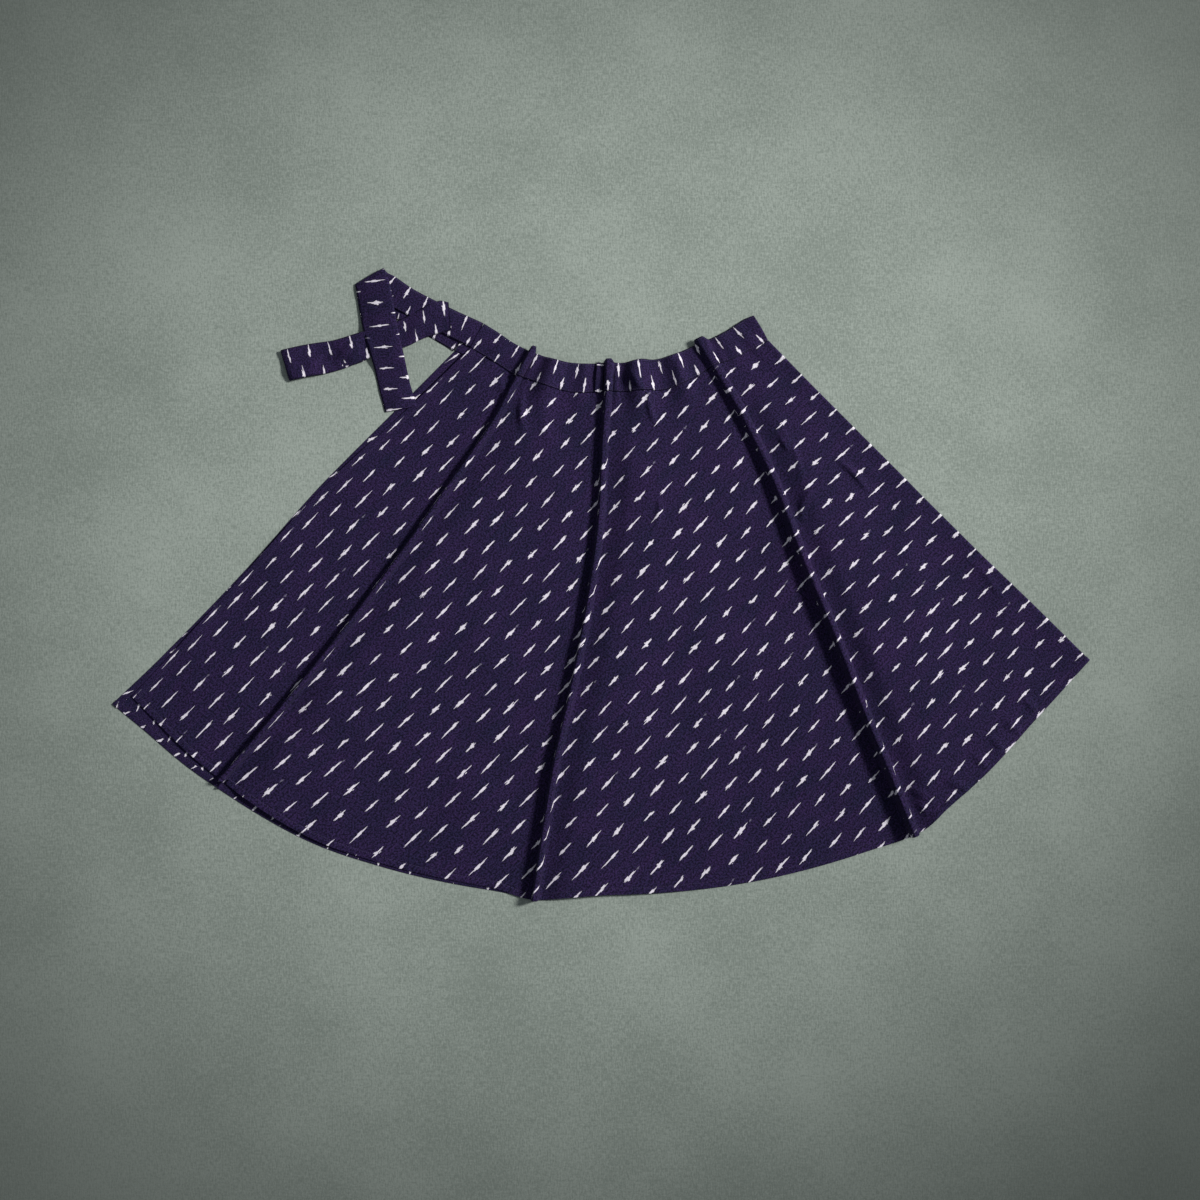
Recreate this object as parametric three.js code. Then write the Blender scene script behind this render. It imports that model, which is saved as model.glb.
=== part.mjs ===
// A wrap skirt of thin ikat cotton, folded in half and laid flat: a half-circle
// panel, a waistband along its inner arc, a tie at each end and one belt loop.
// Millimetres, +Z up. The cloth lies on the plane z = 0, its waist towards +Y.
// Every piece is a wall: a grid of points down the middle of the cloth, moved
// half a thickness to each side and closed along its rim.
import * as THREE from "three";

// ---- driving dimensions -------------------------------------------------

const CLOTH = 1.2; // thickness of the skirt's cloth, hem and seam folds evened out
const BAND = 2.0; // thickness of the waistband, two cloths and the turned seam
const TIE = 1.6; // thickness of a tie, two cloths
const LOOP = 1.6; // thickness of the belt loop
const PARTING = 0.3; // gap between pieces where they are sewn together
const LAY = 0.4; // gap between pieces that lie on each other

const APEX_X = 21; // centre of the half circle that the skirt was cut as
const APEX_Y = 586.5;
const MIDDLE_X = 1.4; // middle of the laid-out skirt, where the part's origin lies
const MIDDLE_Y = 1.7;

const HEM_ROWS = 22; // steps from the waist seam to the hem
const BAND_ROWS = 3; // steps across the waistband
const BAND_DEPTH = 44; // distance between the waistband's two long edges
const FOLD_SWELL = 3.4; // how much further apart the two layers lie at the side fold
const FOLD_REACH = 60; // how far from the side fold that swelling runs out
const BAND_SWELL = 1.2; // the same at the folded end of the waistband
const WAIST_EASE = 120; // length over which the layers close up below the waistband
const BAND_PUFF = 0.8; // how far the middle of the waistband stands above its edges

// The skirt's outline. Azimuths are degrees round the apex from straight down,
// towards +X, and the other columns are distances from the apex.
const HEM = [
  { azimuth: -45, front: 1043, back: 1073 },
  { azimuth: -41, front: 1047, back: 1069 },
  { azimuth: -37, front: 1054, back: 1071 },
  { azimuth: -33, front: 1059, back: 1071 },
  { azimuth: -25, front: 1067, back: 1073 },
  { azimuth: -19, front: 1062, back: 1067 },
  { azimuth: -10, front: 1056, back: 1060 },
  { azimuth: -6.7, front: 1065, back: 1062 },
  { azimuth: -3.5, front: 1056, back: 1057 },
  { azimuth: 0, front: 1050, back: 1049 },
  { azimuth: 13, front: 1052, back: 1050 },
  { azimuth: 21, front: 1056, back: 1054 },
  { azimuth: 25.8, front: 1061, back: 1055 },
  { azimuth: 28.5, front: 1047, back: 1045 },
  { azimuth: 33, front: 1031, back: 1030 },
  { azimuth: 38, front: 1012, back: 1011 },
  { azimuth: 43, front: 1001, back: 1001 },
  { azimuth: 46, front: 997, back: 997 },
];

// The waistband's upper edge, the seam below it, and how much lower the back
// layer's band was laid.
const WAIST = [
  { azimuth: -48, top: 279, seam: 322, drop: 17 },
  { azimuth: -45, top: 275.5, seam: 318, drop: 17 },
  { azimuth: -40, top: 271, seam: 313, drop: 12 },
  { azimuth: -35, top: 270, seam: 310, drop: 6 },
  { azimuth: -29, top: 268, seam: 310, drop: 2 },
  { azimuth: -24.5, top: 266, seam: 307, drop: 0 },
  { azimuth: -17, top: 263, seam: 306, drop: 0 },
  { azimuth: -12, top: 260, seam: 305, drop: 0 },
  { azimuth: -6, top: 256, seam: 300, drop: 0 },
  { azimuth: -1.5, top: 253, seam: 297, drop: 0 },
  { azimuth: 3, top: 254, seam: 298, drop: 0 },
  { azimuth: 9, top: 251.5, seam: 299, drop: 0 },
  { azimuth: 14, top: 256, seam: 304, drop: 0 },
  { azimuth: 22, top: 257, seam: 302, drop: 0 },
  { azimuth: 30.5, top: 258, seam: 299, drop: 0 },
  { azimuth: 35.5, top: 263, seam: 305, drop: 0 },
  { azimuth: 41, top: 267, seam: 311, drop: 0 },
  { azimuth: 46.5, top: 272, seam: 320, drop: 0 },
  { azimuth: 49.5, top: 280, seam: 326, drop: 0 },
];

// Where the cloth ends at the front opening and turns over at the side fold.
// fall runs from 0 at the waist seam to 1 at the hem.
const SIDES = [
  { fall: 0, frontEdge: -42.9, backEdge: -45.3, sideFold: 45.9 },
  { fall: 0.12, frontEdge: -43.5, backEdge: -45.2, sideFold: 45.6 },
  { fall: 0.38, frontEdge: -44.7, backEdge: -45.1, sideFold: 45.4 },
  { fall: 0.6, frontEdge: -44.3, backEdge: -44.4, sideFold: 45.3 },
  { fall: 0.85, frontEdge: -43.9, backEdge: -44.3, sideFold: 45.4 },
  { fall: 1, frontEdge: -43.8, backEdge: -44.5, sideFold: 45.4 },
];

// The same at the waistband. fall runs from -1 at its upper edge to 0 at its seam.
const BAND_ENDS = [
  { fall: -1, frontEdge: -45, backEdge: -47.1, sideFold: 48.4 },
  { fall: 0, frontEdge: -42.9, backEdge: -45.3, sideFold: 45.9 },
];

// How far each long fold wanders from its even course, in degrees round the apex.
const LEFT_SWAY = [
  { fall: -1, sway: 2 },
  { fall: 0, sway: 2 },
  { fall: 0.09, sway: 2 },
  { fall: 0.25, sway: 0.8 },
  { fall: 0.41, sway: 0.7 },
  { fall: 0.57, sway: 0.5 },
  { fall: 0.73, sway: 0.5 },
  { fall: 1, sway: 0.5 },
];
const MIDDLE_SWAY = [
  { fall: -1, sway: 0 },
  { fall: 0, sway: 0.3 },
  { fall: 0.09, sway: 0.4 },
  { fall: 0.25, sway: 1.1 },
  { fall: 0.41, sway: 0.9 },
  { fall: 0.57, sway: 0.45 },
  { fall: 0.73, sway: 0 },
  { fall: 1, sway: 0.4 },
];
const RIGHT_SWAY = [
  { fall: -1, sway: 0 },
  { fall: 0, sway: 0.4 },
  { fall: 0.09, sway: 0.7 },
  { fall: 0.25, sway: 0.35 },
  { fall: 0.41, sway: -0.75 },
  { fall: 0.57, sway: -0.9 },
  { fall: 0.73, sway: -1 },
  { fall: 0.89, sway: -0.7 },
  { fall: 1, sway: -0.5 },
];

// The three long folds, from the waistband to the hem. left and right are the widths
// of a fold's two sides, lean is how far its crest tips to the left for each
// millimetre that it stands up, tip is how far the crest pushes the waistband's
// upper edge out, and loose is how high the cloth lies loose beyond its right foot.
const FOLDS = [
  {
    azimuth: { waist: -28.6, middle: -31.2, hem: -34.1 },
    height: { waist: 11, middle: 12, hem: 12 },
    left: 9,
    right: 7,
    lean: 0.35,
    tip: 9,
    loose: 5,
    sway: LEFT_SWAY,
  },
  {
    azimuth: { waist: -1.6, middle: -4.5, hem: -6.6 },
    height: { waist: 11, middle: 14, hem: 17 },
    left: 12,
    right: 8.5,
    lean: 0.35,
    tip: 5,
    loose: 6,
    sway: MIDDLE_SWAY,
  },
  {
    azimuth: { waist: 30.5, middle: 28.3, hem: 25.9 },
    height: { waist: 10, middle: 19, hem: 22 },
    left: 16,
    right: 9,
    lean: 0.3,
    tip: 7,
    loose: 7,
    sway: RIGHT_SWAY,
  },
];
const FOLD_STEPS = [-1, -0.7, -0.4, -0.15, 0, 0.3, 0.55, 0.78, 1]; // places across a fold
const TOP_WIDTH = 0.55; // share of a fold's right side that is its rounded top
const TOP_FALL = 0.25; // how much of its height that top loses towards the right foot
const LOOSE_FROM = 6; // mm beyond a crest where the loose cloth starts to rise,
const LOOSE_TO = 42; // where it is highest
const LOOSE_END = 260; // and where it lies down again
const LOOSE_EASE = 0.15; // fall over which the loose cloth rises from the waist seam
const BACK_WIDTH = 0.5; // the back layer's low folds nest inside the front layer's
const BACK_HEIGHT = 0.35;
const PLAIN_STEPS = [4, 8, 8, 7]; // steps over the smooth cloth between the folds
const CROWDING = 1.5; // how much closer those steps lie beside a fold's right foot
const TURN = [30, 70, 110, 150]; // degrees round the side fold at its own points

// The soft gathers of the front layer's band, which fade out in the cloth below it.
// near and far are the widths of a gather's steep left side and its long right side,
// in degrees round the apex.
const GATHERS = [
  { azimuth: -36.5, near: 3, far: 4, height: 1.6 },
  { azimuth: -17.4, near: 3.6, far: 5.6, height: 4 },
  { azimuth: -9.4, near: 2.6, far: 3.2, height: 2.2 },
  { azimuth: 10, near: 3.6, far: 6, height: 4 },
  { azimuth: 20.2, near: 3.4, far: 5, height: 2.6 },
  { azimuth: 36.6, near: 3, far: 4, height: 1.8 },
];
const GATHER_REACH = 75; // how far below the waist seam a gather runs out

// The ties. Each row is one section: the two edges of the ribbon and the height
// of the middle of its cloth. The first tie grows out of the front layer's band,
// runs up to the left, folds over itself and hangs down towards the hem.
const FRONT_TIE = [
  { leftX: -194.2, leftY: 355.9, rightX: -174.5, rightY: 392.3, height: 3.4 },
  { leftX: -237, leftY: 377.3, rightX: -225, rightY: 415.5, height: 3.4 },
  { leftX: -297, leftY: 408, rightX: -279, rightY: 443, height: 3.4 },
  { leftX: -335, leftY: 428.5, rightX: -307, rightY: 462, height: 3.2 },
  { leftX: -361, leftY: 446, rightX: -320, rightY: 469, height: 3.0 },
  { leftX: -367, leftY: 450.8, rightX: -323.4, rightY: 474.6, height: 5.6 },
  { leftX: -366, leftY: 444, rightX: -319, rightY: 466, height: 9.0 },
  { leftX: -362, leftY: 418, rightX: -312, rightY: 441, height: 9.4 },
  { leftX: -355.5, leftY: 384, rightX: -306.5, rightY: 408, height: 9.6 },
  { leftX: -346, leftY: 352, rightX: -299, rightY: 370, height: 8.8 },
  { leftX: -338.5, leftY: 324.6, rightX: -292, rightY: 337, height: 5.4 },
  { leftX: -331, leftY: 292, rightX: -284, rightY: 300, height: 4.6 },
  { leftX: -322.5, leftY: 258.9, rightX: -273.6, rightY: 268.1, height: 4.4 },
];

// The second tie grows out of the back layer's band, lies under the first one,
// doubles back at its left end and crosses over the first one.
const BACK_TIE = [
  { leftX: -219.5, leftY: 350.5, rightX: -196.8, rightY: 386.5, height: 0.8 },
  { leftX: -256, leftY: 372, rightX: -234, rightY: 408, height: 0.8 },
  { leftX: -292, leftY: 394, rightX: -277, rightY: 428, height: 0.8 },
  { leftX: -312, leftY: 398, rightX: -309, rightY: 432, height: 0.8 },
  { leftX: -322, leftY: 392, rightX: -338, rightY: 414, height: 0.8 },
  { leftX: -330, leftY: 366, rightX: -353, rightY: 384, height: 0.8 },
  { leftX: -350, leftY: 338, rightX: -362, rightY: 368, height: 0.8 },
  { leftX: -390, leftY: 325, rightX: -397, rightY: 359, height: 0.8 },
  { leftX: -430, leftY: 317, rightX: -439, rightY: 352, height: 0.8 },
  { leftX: -455, leftY: 311, rightX: -466, rightY: 348, height: 1.2 },
];
const BACK_TIE_OVER = [
  { leftX: -465, leftY: 306, rightX: -478.5, rightY: 351, height: 5.2 },
  { leftX: -457, leftY: 307, rightX: -470, rightY: 353.5, height: 8.4 },
  { leftX: -436, leftY: 312, rightX: -447, rightY: 359, height: 5.4 },
  { leftX: -413, leftY: 316, rightX: -421, rightY: 363.5, height: 3.6 },
  { leftX: -384, leftY: 324, rightX: -398, rightY: 367, height: 4.0 },
  { leftX: -352, leftY: 337, rightX: -361, rightY: 378, height: 5.4 },
  { leftX: -322, leftY: 350, rightX: -330, rightY: 388, height: 5.6 },
  { leftX: -292, leftY: 356, rightX: -300, rightY: 397, height: 5.6 },
  { leftX: -262, leftY: 370, rightX: -268, rightY: 414, height: 5.6 },
  { leftX: -236, leftY: 378, rightX: -241, rightY: 426, height: 5.6 },
  { leftX: -223, leftY: 381, rightX: -227, rightY: 424, height: 5.6 },
];
const TIE_STEPS = 4; // steps across a tie

// The belt loop on the front layer's band, just left of the middle fold.
const LOOP_AZIMUTH = -5.1;
const LOOP_WIDTH = 12;
const LOOP_OVERHANG = 0.6; // how far its ends reach past the band's edges
const LOOP_CLEAR = 0.9; // gap between the band and the ends of the loop
const LOOP_BULGE = 1.4; // how far its middle stands off the band
const LOOP_STEPS = 6; // steps along it
const LOOP_PLACES = [-0.5, 0, 0.5]; // places across it, as shares of its width

// ---- tables and curves --------------------------------------------------

const radians = THREE.MathUtils.degToRad;
const degrees = THREE.MathUtils.radToDeg;
const lerp = THREE.MathUtils.lerp;

// A value that runs from 1 at zero to 0 at its reach, flattening out.
function fade(distance, reach) {
  const left = Math.max(0, 1 - distance / reach);
  return left * left;
}

// The value of one column of a table, smoothly between the rows.
function read(table, key, at, column) {
  const last = table.length - 1;
  let i = 0;
  while (i < last - 1 && table[i + 1][key] < at) {
    i += 1;
  }
  const row = (k) => table[Math.min(last, Math.max(0, k))];
  const slope = (k) => {
    const before = row(k - 1);
    const after = row(k + 1);
    return (after[column] - before[column]) / (after[key] - before[key]);
  };
  const step = row(i + 1)[key] - row(i)[key];
  const t = Math.min(1, Math.max(0, (at - row(i)[key]) / step));
  const rise = row(i + 1)[column] - row(i)[column];
  const a = slope(i) * step - rise;
  const b = rise - slope(i + 1) * step;
  return row(i)[column] + rise * t + t * (1 - t) * (a * (1 - t) + b * t);
}

// A value given at the waist, the middle and the hem, for a fall of 0 to 1.
function along(values, fall) {
  const t = Math.max(0, fall);
  const bow = 4 * values.middle - 2 * values.waist - 2 * values.hem;
  return lerp(values.waist, values.hem, t) + bow * t * (1 - t);
}

// An even swelling: 1 in the middle, 0 from one width outwards.
function bell(place) {
  return Math.abs(place) < 1 ? 0.5 + 0.5 * Math.cos(Math.PI * place) : 0;
}

// A soft step from 0 to 1.
function smooth(share) {
  const t = Math.min(1, Math.max(0, share));
  return t * t * (3 - 2 * t);
}

// The height of a fold's section: even on its left side, and on its right side a
// rounded top that ends in a steep fall to the foot.
function section(place) {
  if (place < 0) {
    return bell(place);
  }
  const fallen = smooth((place - TOP_WIDTH) / (1 - TOP_WIDTH));
  return (1 - TOP_FALL * place * place) * (1 - fallen);
}

function onPlan(azimuth, radius, height) {
  const a = radians(azimuth);
  const x = APEX_X + radius * Math.sin(a);
  const y = APEX_Y - radius * Math.cos(a);
  return new THREE.Vector3(x, y, height);
}

// ---- walls --------------------------------------------------------------

// The cloth's own direction outwards at each point of a grid.
function normals(grid) {
  return grid.map((line, i) =>
    line.map((_, j) => {
      const lineBefore = Math.max(0, i - 1);
      const lineAfter = Math.min(grid.length - 1, i + 1);
      const before = Math.max(0, j - 1);
      const after = Math.min(line.length - 1, j + 1);
      const across = grid[lineAfter][j].clone().sub(grid[lineBefore][j]);
      const down = line[after].clone().sub(line[before]);
      return down.cross(across).normalize();
    }),
  );
}

// A closed body between the grid moved half a thickness to each side.
function wall(grid, thickness) {
  const lines = grid.length;
  const places = grid[0].length;
  const out = normals(grid);
  const points = [];
  const side = (sign) =>
    grid.forEach((line, i) =>
      line.forEach((point, j) => {
        const moved = point.clone().addScaledVector(out[i][j], (sign * thickness) / 2);
        points.push(moved.x, moved.y, moved.z);
      }),
    );
  side(1);
  side(-1);
  const upper = (i, j) => i * places + j;
  const lower = (i, j) => lines * places + i * places + j;
  const faces = [];
  const quad = (a, b, c, d) => faces.push(a, b, c, a, c, d);
  for (let i = 0; i < lines - 1; i += 1) {
    for (let j = 0; j < places - 1; j += 1) {
      quad(upper(i, j), upper(i, j + 1), upper(i + 1, j + 1), upper(i + 1, j));
      quad(lower(i, j), lower(i + 1, j), lower(i + 1, j + 1), lower(i, j + 1));
    }
    quad(upper(i, 0), upper(i + 1, 0), lower(i + 1, 0), lower(i, 0));
    const j = places - 1;
    quad(upper(i, j), lower(i, j), lower(i + 1, j), upper(i + 1, j));
  }
  for (let j = 0; j < places - 1; j += 1) {
    quad(upper(0, j), lower(0, j), lower(0, j + 1), upper(0, j + 1));
    const i = lines - 1;
    quad(upper(i, j), upper(i, j + 1), lower(i, j + 1), lower(i, j));
  }
  const geometry = new THREE.BufferGeometry();
  geometry.setAttribute("position", new THREE.Float32BufferAttribute(points, 3));
  geometry.setIndex(faces);
  geometry.computeVertexNormals();
  return geometry;
}

// ---- the two layers of the folded skirt ---------------------------------

const FRONT = { edge: "frontEdge", hem: "front", drop: 0, width: 1, height: 1 };
const BACK = {
  edge: "backEdge",
  hem: "back",
  drop: 1,
  width: BACK_WIDTH,
  height: BACK_HEIGHT,
};

// The lines that run from the waist to the hem: each is a place across one of the
// folds, or a share of the smooth cloth between two of them.
function downLines() {
  const lines = [];
  PLAIN_STEPS.forEach((steps, region) => {
    const first = region === 0 ? 0 : 1;
    const last = region === PLAIN_STEPS.length - 1 ? steps : steps - 1;
    const crowding = region === 0 ? 1 : CROWDING;
    for (let k = first; k <= last; k += 1) {
      lines.push({ region, share: (k / steps) ** crowding });
    }
    if (region < FOLDS.length) {
      FOLD_STEPS.forEach((place) => lines.push({ fold: FOLDS[region], place }));
    }
  });
  return lines;
}

const REACH = { waist: 300, middle: 680, hem: 1060 }; // distance from the apex

function courseOf(fold, fall) {
  return along(fold.azimuth, fall) + read(fold.sway, "fall", fall, "sway");
}

// The azimuth of a place across a fold, and how high the cloth stands there.
function foldPoint(fold, place, fall, layer) {
  const crest = along(fold.height, fall) * layer.height;
  const rise = crest * section(place / layer.width);
  const width = place < 0 ? fold.left : fold.right;
  const offset = place * width - fold.lean * (place < 0 ? rise : crest);
  const azimuth = courseOf(fold, fall) + degrees(offset / along(REACH, fall));
  return { azimuth, rise, tip: fold.tip * bell(place / layer.width) };
}

function linePoint(line, fall, layer, ends) {
  if (line.fold) {
    return foldPoint(line.fold, line.place, fall, layer);
  }
  const before = FOLDS[line.region - 1];
  const after = FOLDS[line.region];
  const from = before
    ? foldPoint(before, 1, fall, layer).azimuth
    : read(ends, "fall", fall, layer.edge);
  const to = after
    ? foldPoint(after, -1, fall, layer).azimuth
    : read(ends, "fall", fall, "sideFold");
  return { azimuth: lerp(from, to, line.share), rise: 0, tip: 0 };
}

// How far above the back layer's cloth the front layer's lies.
function spacing(fall, fromFold, swell) {
  const closed = CLOTH + LAY;
  const atBand = BAND + LAY;
  const ease = Math.min(1, Math.max(0, (fall * (REACH.hem - REACH.waist)) / WAIST_EASE));
  return lerp(atBand, closed, ease) + swell * fade(fromFold, FOLD_REACH);
}

// How far a gather lifts the front layer there.
function gathered(azimuth, fall) {
  const below = Math.max(0, fall) * (REACH.hem - REACH.waist);
  const side = (g) => (azimuth < g.azimuth ? g.near : g.far);
  const lift = (sum, g) => sum + g.height * bell((azimuth - g.azimuth) / side(g));
  return GATHERS.reduce(lift, 0) * fade(below, GATHER_REACH);
}

// How far the front layer, lying loose beyond each fold, is lifted there.
function loosened(azimuth, fall, radius) {
  const lift = FOLDS.reduce((sum, fold) => {
    const beyond = radius * radians(azimuth - courseOf(fold, fall));
    const up = smooth((beyond - LOOSE_FROM) / (LOOSE_TO - LOOSE_FROM));
    const down = smooth((beyond - LOOSE_TO) / (LOOSE_END - LOOSE_TO));
    return sum + fold.loose * up * (1 - down);
  }, 0);
  return lift * smooth(fall / LOOSE_EASE);
}

// One layer's points, line by line from the front opening to the side fold.
function layerGrid(layer, falls, radiusAt, thickness, ends, swell, puff) {
  return downLines().map((line) =>
    falls.map((fall) => {
      const { azimuth, rise, tip } = linePoint(line, fall, layer, ends);
      const turn = read(ends, "fall", fall, "sideFold");
      const radius = radiusAt(azimuth, fall, layer) - tip * Math.max(0, -fall);
      const fromFold = radius * radians(Math.max(0, turn - azimuth));
      const lifted = layer === FRONT ? spacing(fall, fromFold, swell) : 0;
      const settled = smooth(fromFold / (2 * FOLD_REACH));
      const loose = loosened(azimuth, fall, radius) * settled;
      const bulge = layer === FRONT ? puff(fall) + gathered(azimuth, fall) + loose : 0;
      return onPlan(azimuth, radius, thickness / 2 + lifted + rise + bulge);
    }),
  );
}

// The whole cloth, folded in half: the front layer, the turn at the side fold
// and the back layer, as one grid.
function foldedGrid(falls, radiusAt, thickness, ends, swell, puff) {
  const front = layerGrid(FRONT, falls, radiusAt, thickness, ends, swell, puff);
  const back = layerGrid(BACK, falls, radiusAt, thickness, ends, swell, puff);
  const over = front[front.length - 1];
  const under = back[back.length - 1];
  const turn = TURN.map((angle) =>
    falls.map((fall, j) => {
      const half = (over[j].z - under[j].z) / 2;
      const centre = over[j].clone().add(under[j]).multiplyScalar(0.5);
      const a = radians(read(ends, "fall", fall, "sideFold"));
      const outwards = new THREE.Vector3(Math.cos(a), Math.sin(a), 0);
      centre.addScaledVector(outwards, half * Math.sin(radians(angle)));
      centre.z += half * Math.cos(radians(angle));
      return centre;
    }),
  );
  return [...front, ...turn, ...back.reverse()];
}

function seamRadius(azimuth, layer) {
  return read(WAIST, "azimuth", azimuth, "seam")
    + layer.drop * read(WAIST, "azimuth", azimuth, "drop");
}

function skirtRadius(azimuth, fall, layer) {
  const start = seamRadius(azimuth, layer) + PARTING / 2;
  return lerp(start, read(HEM, "azimuth", azimuth, layer.hem), fall);
}

function bandRadius(azimuth, fall, layer) {
  const end = seamRadius(azimuth, layer) - PARTING / 2;
  const top = read(WAIST, "azimuth", azimuth, "top")
    + layer.drop * read(WAIST, "azimuth", azimuth, "drop");
  return lerp(end, top, -fall);
}

const steps = (count, from, to) =>
  Array.from({ length: count + 1 }, (_, k) => lerp(from, to, k / count));

const bandPuff = (fall) => BAND_PUFF * Math.sin(Math.PI * fall) ** 2;

function skirtPanel() {
  const falls = steps(HEM_ROWS, 0, 1);
  return wall(foldedGrid(falls, skirtRadius, CLOTH, SIDES, FOLD_SWELL, () => 0), CLOTH);
}

function waistband() {
  const falls = steps(BAND_ROWS, -1, 0);
  return wall(foldedGrid(falls, bandRadius, BAND, BAND_ENDS, BAND_SWELL, bandPuff), BAND);
}

// ---- the ties and the belt loop -----------------------------------------

// A ribbon through its sections, square across between their two edges.
function ribbon(sections) {
  const grid = sections.map((s) => {
    const left = new THREE.Vector3(s.leftX, s.leftY, s.height);
    const right = new THREE.Vector3(s.rightX, s.rightY, s.height);
    return steps(TIE_STEPS, 0, 1).map((t) => left.clone().lerp(right, t));
  });
  return wall(grid, TIE);
}

// The belt loop follows the middle of the band's outer face.
function beltLoop() {
  const middle = radians(LOOP_AZIMUTH);
  const centre = bandRadius(LOOP_AZIMUTH, -0.5, FRONT);
  const stretch = 1 + (2 * LOOP_OVERHANG) / BAND_DEPTH;
  const onBand = 2 * BAND + LAY + LOOP_CLEAR + LOOP / 2;
  const grid = LOOP_PLACES.map((place) =>
    steps(LOOP_STEPS, -1, 0).map((fall) => {
      const radius = bandRadius(LOOP_AZIMUTH, fall, FRONT);
      const reach = centre + (radius - centre) * stretch;
      const azimuth = degrees(middle + (place * LOOP_WIDTH) / reach);
      const bulge = LOOP_BULGE * Math.sin(Math.PI * -fall);
      return onPlan(azimuth, reach, onBand + bandPuff(fall) + bulge);
    }),
  );
  return wall(grid, LOOP);
}

// ---- the skirt ----------------------------------------------------------

const COTTON = { color: 0x2a2440, roughness: 0.9, metalness: 0 };
const skirt = new THREE.Group();

function add(name, geometry) {
  const mesh = new THREE.Mesh(geometry, new THREE.MeshStandardMaterial(COTTON));
  mesh.name = name;
  skirt.add(mesh);
}

add("skirt_panel", skirtPanel());
add("waistband", waistband());
add("tie_front", ribbon(FRONT_TIE));
add("tie_back", ribbon([...BACK_TIE, ...BACK_TIE_OVER]));
add("belt_loop", beltLoop());

skirt.position.set(-MIDDLE_X, -MIDDLE_Y, 0);

export default skirt;
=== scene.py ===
import math

import bpy
import numpy as np
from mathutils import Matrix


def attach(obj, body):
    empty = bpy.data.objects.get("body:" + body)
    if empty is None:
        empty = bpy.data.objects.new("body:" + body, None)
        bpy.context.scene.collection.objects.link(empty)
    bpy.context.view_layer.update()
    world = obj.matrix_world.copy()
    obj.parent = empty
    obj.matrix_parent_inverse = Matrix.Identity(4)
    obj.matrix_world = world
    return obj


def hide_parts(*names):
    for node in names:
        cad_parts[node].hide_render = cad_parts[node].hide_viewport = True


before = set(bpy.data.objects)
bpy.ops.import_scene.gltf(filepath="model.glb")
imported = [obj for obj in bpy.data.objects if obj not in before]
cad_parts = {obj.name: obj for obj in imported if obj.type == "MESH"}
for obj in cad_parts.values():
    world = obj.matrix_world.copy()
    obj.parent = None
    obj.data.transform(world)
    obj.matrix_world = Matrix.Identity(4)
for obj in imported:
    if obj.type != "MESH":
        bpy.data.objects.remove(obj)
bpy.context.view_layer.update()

# A wrap skirt of thin ikat cotton, folded in half and laid flat on a pale floor.
# Sizes are in millimetres here and are turned into metres when a mesh is made.
MM = 0.001
rng = np.random.default_rng(7)

# ---- sizes of the cloth ----

# How thick the panel is, and the doubled band, ties and loop.
CLOTH, BAND, TIE, LOOP = 1.2, 2.0, 1.6, 1.6
LAY = 0.4  # what lies between the two layers
OUTER = 0.45  # the panel's outer face stands this far from the middle of its wall
APEX = np.array([21.0, 586.5])  # the middle of the rings of the hem and the waist
MIDDLE = np.array([1.4, 1.7])  # the place that becomes the part's own middle
FOLD_SWELL, BAND_SWELL = 3.4, 1.2  # how much wider panel and band gape at the side fold,
FOLD_REACH = 60  # from this far before it
WAIST_EASE = 120  # from the waist to where the panel's layers lie close
BAND_PUFF = 0.8  # how far the band bulges between its edges
REACH = (300, 680, 1060)  # from the apex to the waist, the middle and the hem
PANEL_LENGTH = REACH[2] - REACH[0]


def rows(names, *values):
    """A table: a dictionary for each row, with the named columns."""
    return [dict(zip(names.split(), line)) for line in values]


# The outline. Azimuth is in degrees round the apex, from straight down to the right, and
# hem, top and seam are radii. drop is how much lower the back layer's waist lies.
HEM = rows(
    "azimuth front back",
    (-45, 1043, 1073),
    (-41, 1047, 1069),
    (-37, 1054, 1071),
    (-33, 1059, 1071),
    (-25, 1067, 1073),
    (-19, 1062, 1067),
    (-10, 1056, 1060),
    (-6.7, 1065, 1062),
    (-3.5, 1056, 1057),
    (0, 1050, 1049),
    (13, 1052, 1050),
    (21, 1056, 1054),
    (25.8, 1061, 1055),
    (28.5, 1047, 1045),
    (33, 1031, 1030),
    (38, 1012, 1011),
    (43, 1001, 1001),
    (46, 997, 997),
)
WAIST = rows(
    "azimuth top seam drop",
    (-48, 279, 322, 17),
    (-45, 275.5, 318, 17),
    (-40, 271, 313, 12),
    (-35, 270, 310, 6),
    (-29, 268, 310, 2),
    (-24.5, 266, 307, 0),
    (-17, 263, 306, 0),
    (-12, 260, 305, 0),
    (-6, 256, 300, 0),
    (-1.5, 253, 297, 0),
    (3, 254, 298, 0),
    (9, 251.5, 299, 0),
    (14, 256, 304, 0),
    (22, 257, 302, 0),
    (30.5, 258, 299, 0),
    (35.5, 263, 305, 0),
    (41, 267, 311, 0),
    (46.5, 272, 320, 0),
    (49.5, 280, 326, 0),
)
# The opening's two edges and the side fold, in degrees. fall runs from -1 at the band's
# top by 0 at the seam to 1 at the hem.
SIDES = rows(
    "fall frontEdge backEdge sideFold",
    (0, -42.9, -45.3, 45.9),
    (0.12, -43.5, -45.2, 45.6),
    (0.38, -44.7, -45.1, 45.4),
    (0.6, -44.3, -44.4, 45.3),
    (0.85, -43.9, -44.3, 45.4),
    (1, -43.8, -44.5, 45.4),
)
BAND_ENDS = rows(
    "fall frontEdge backEdge sideFold",
    (-1, -45, -47.1, 48.4),
    (0, -42.9, -45.3, 45.9),
)
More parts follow.
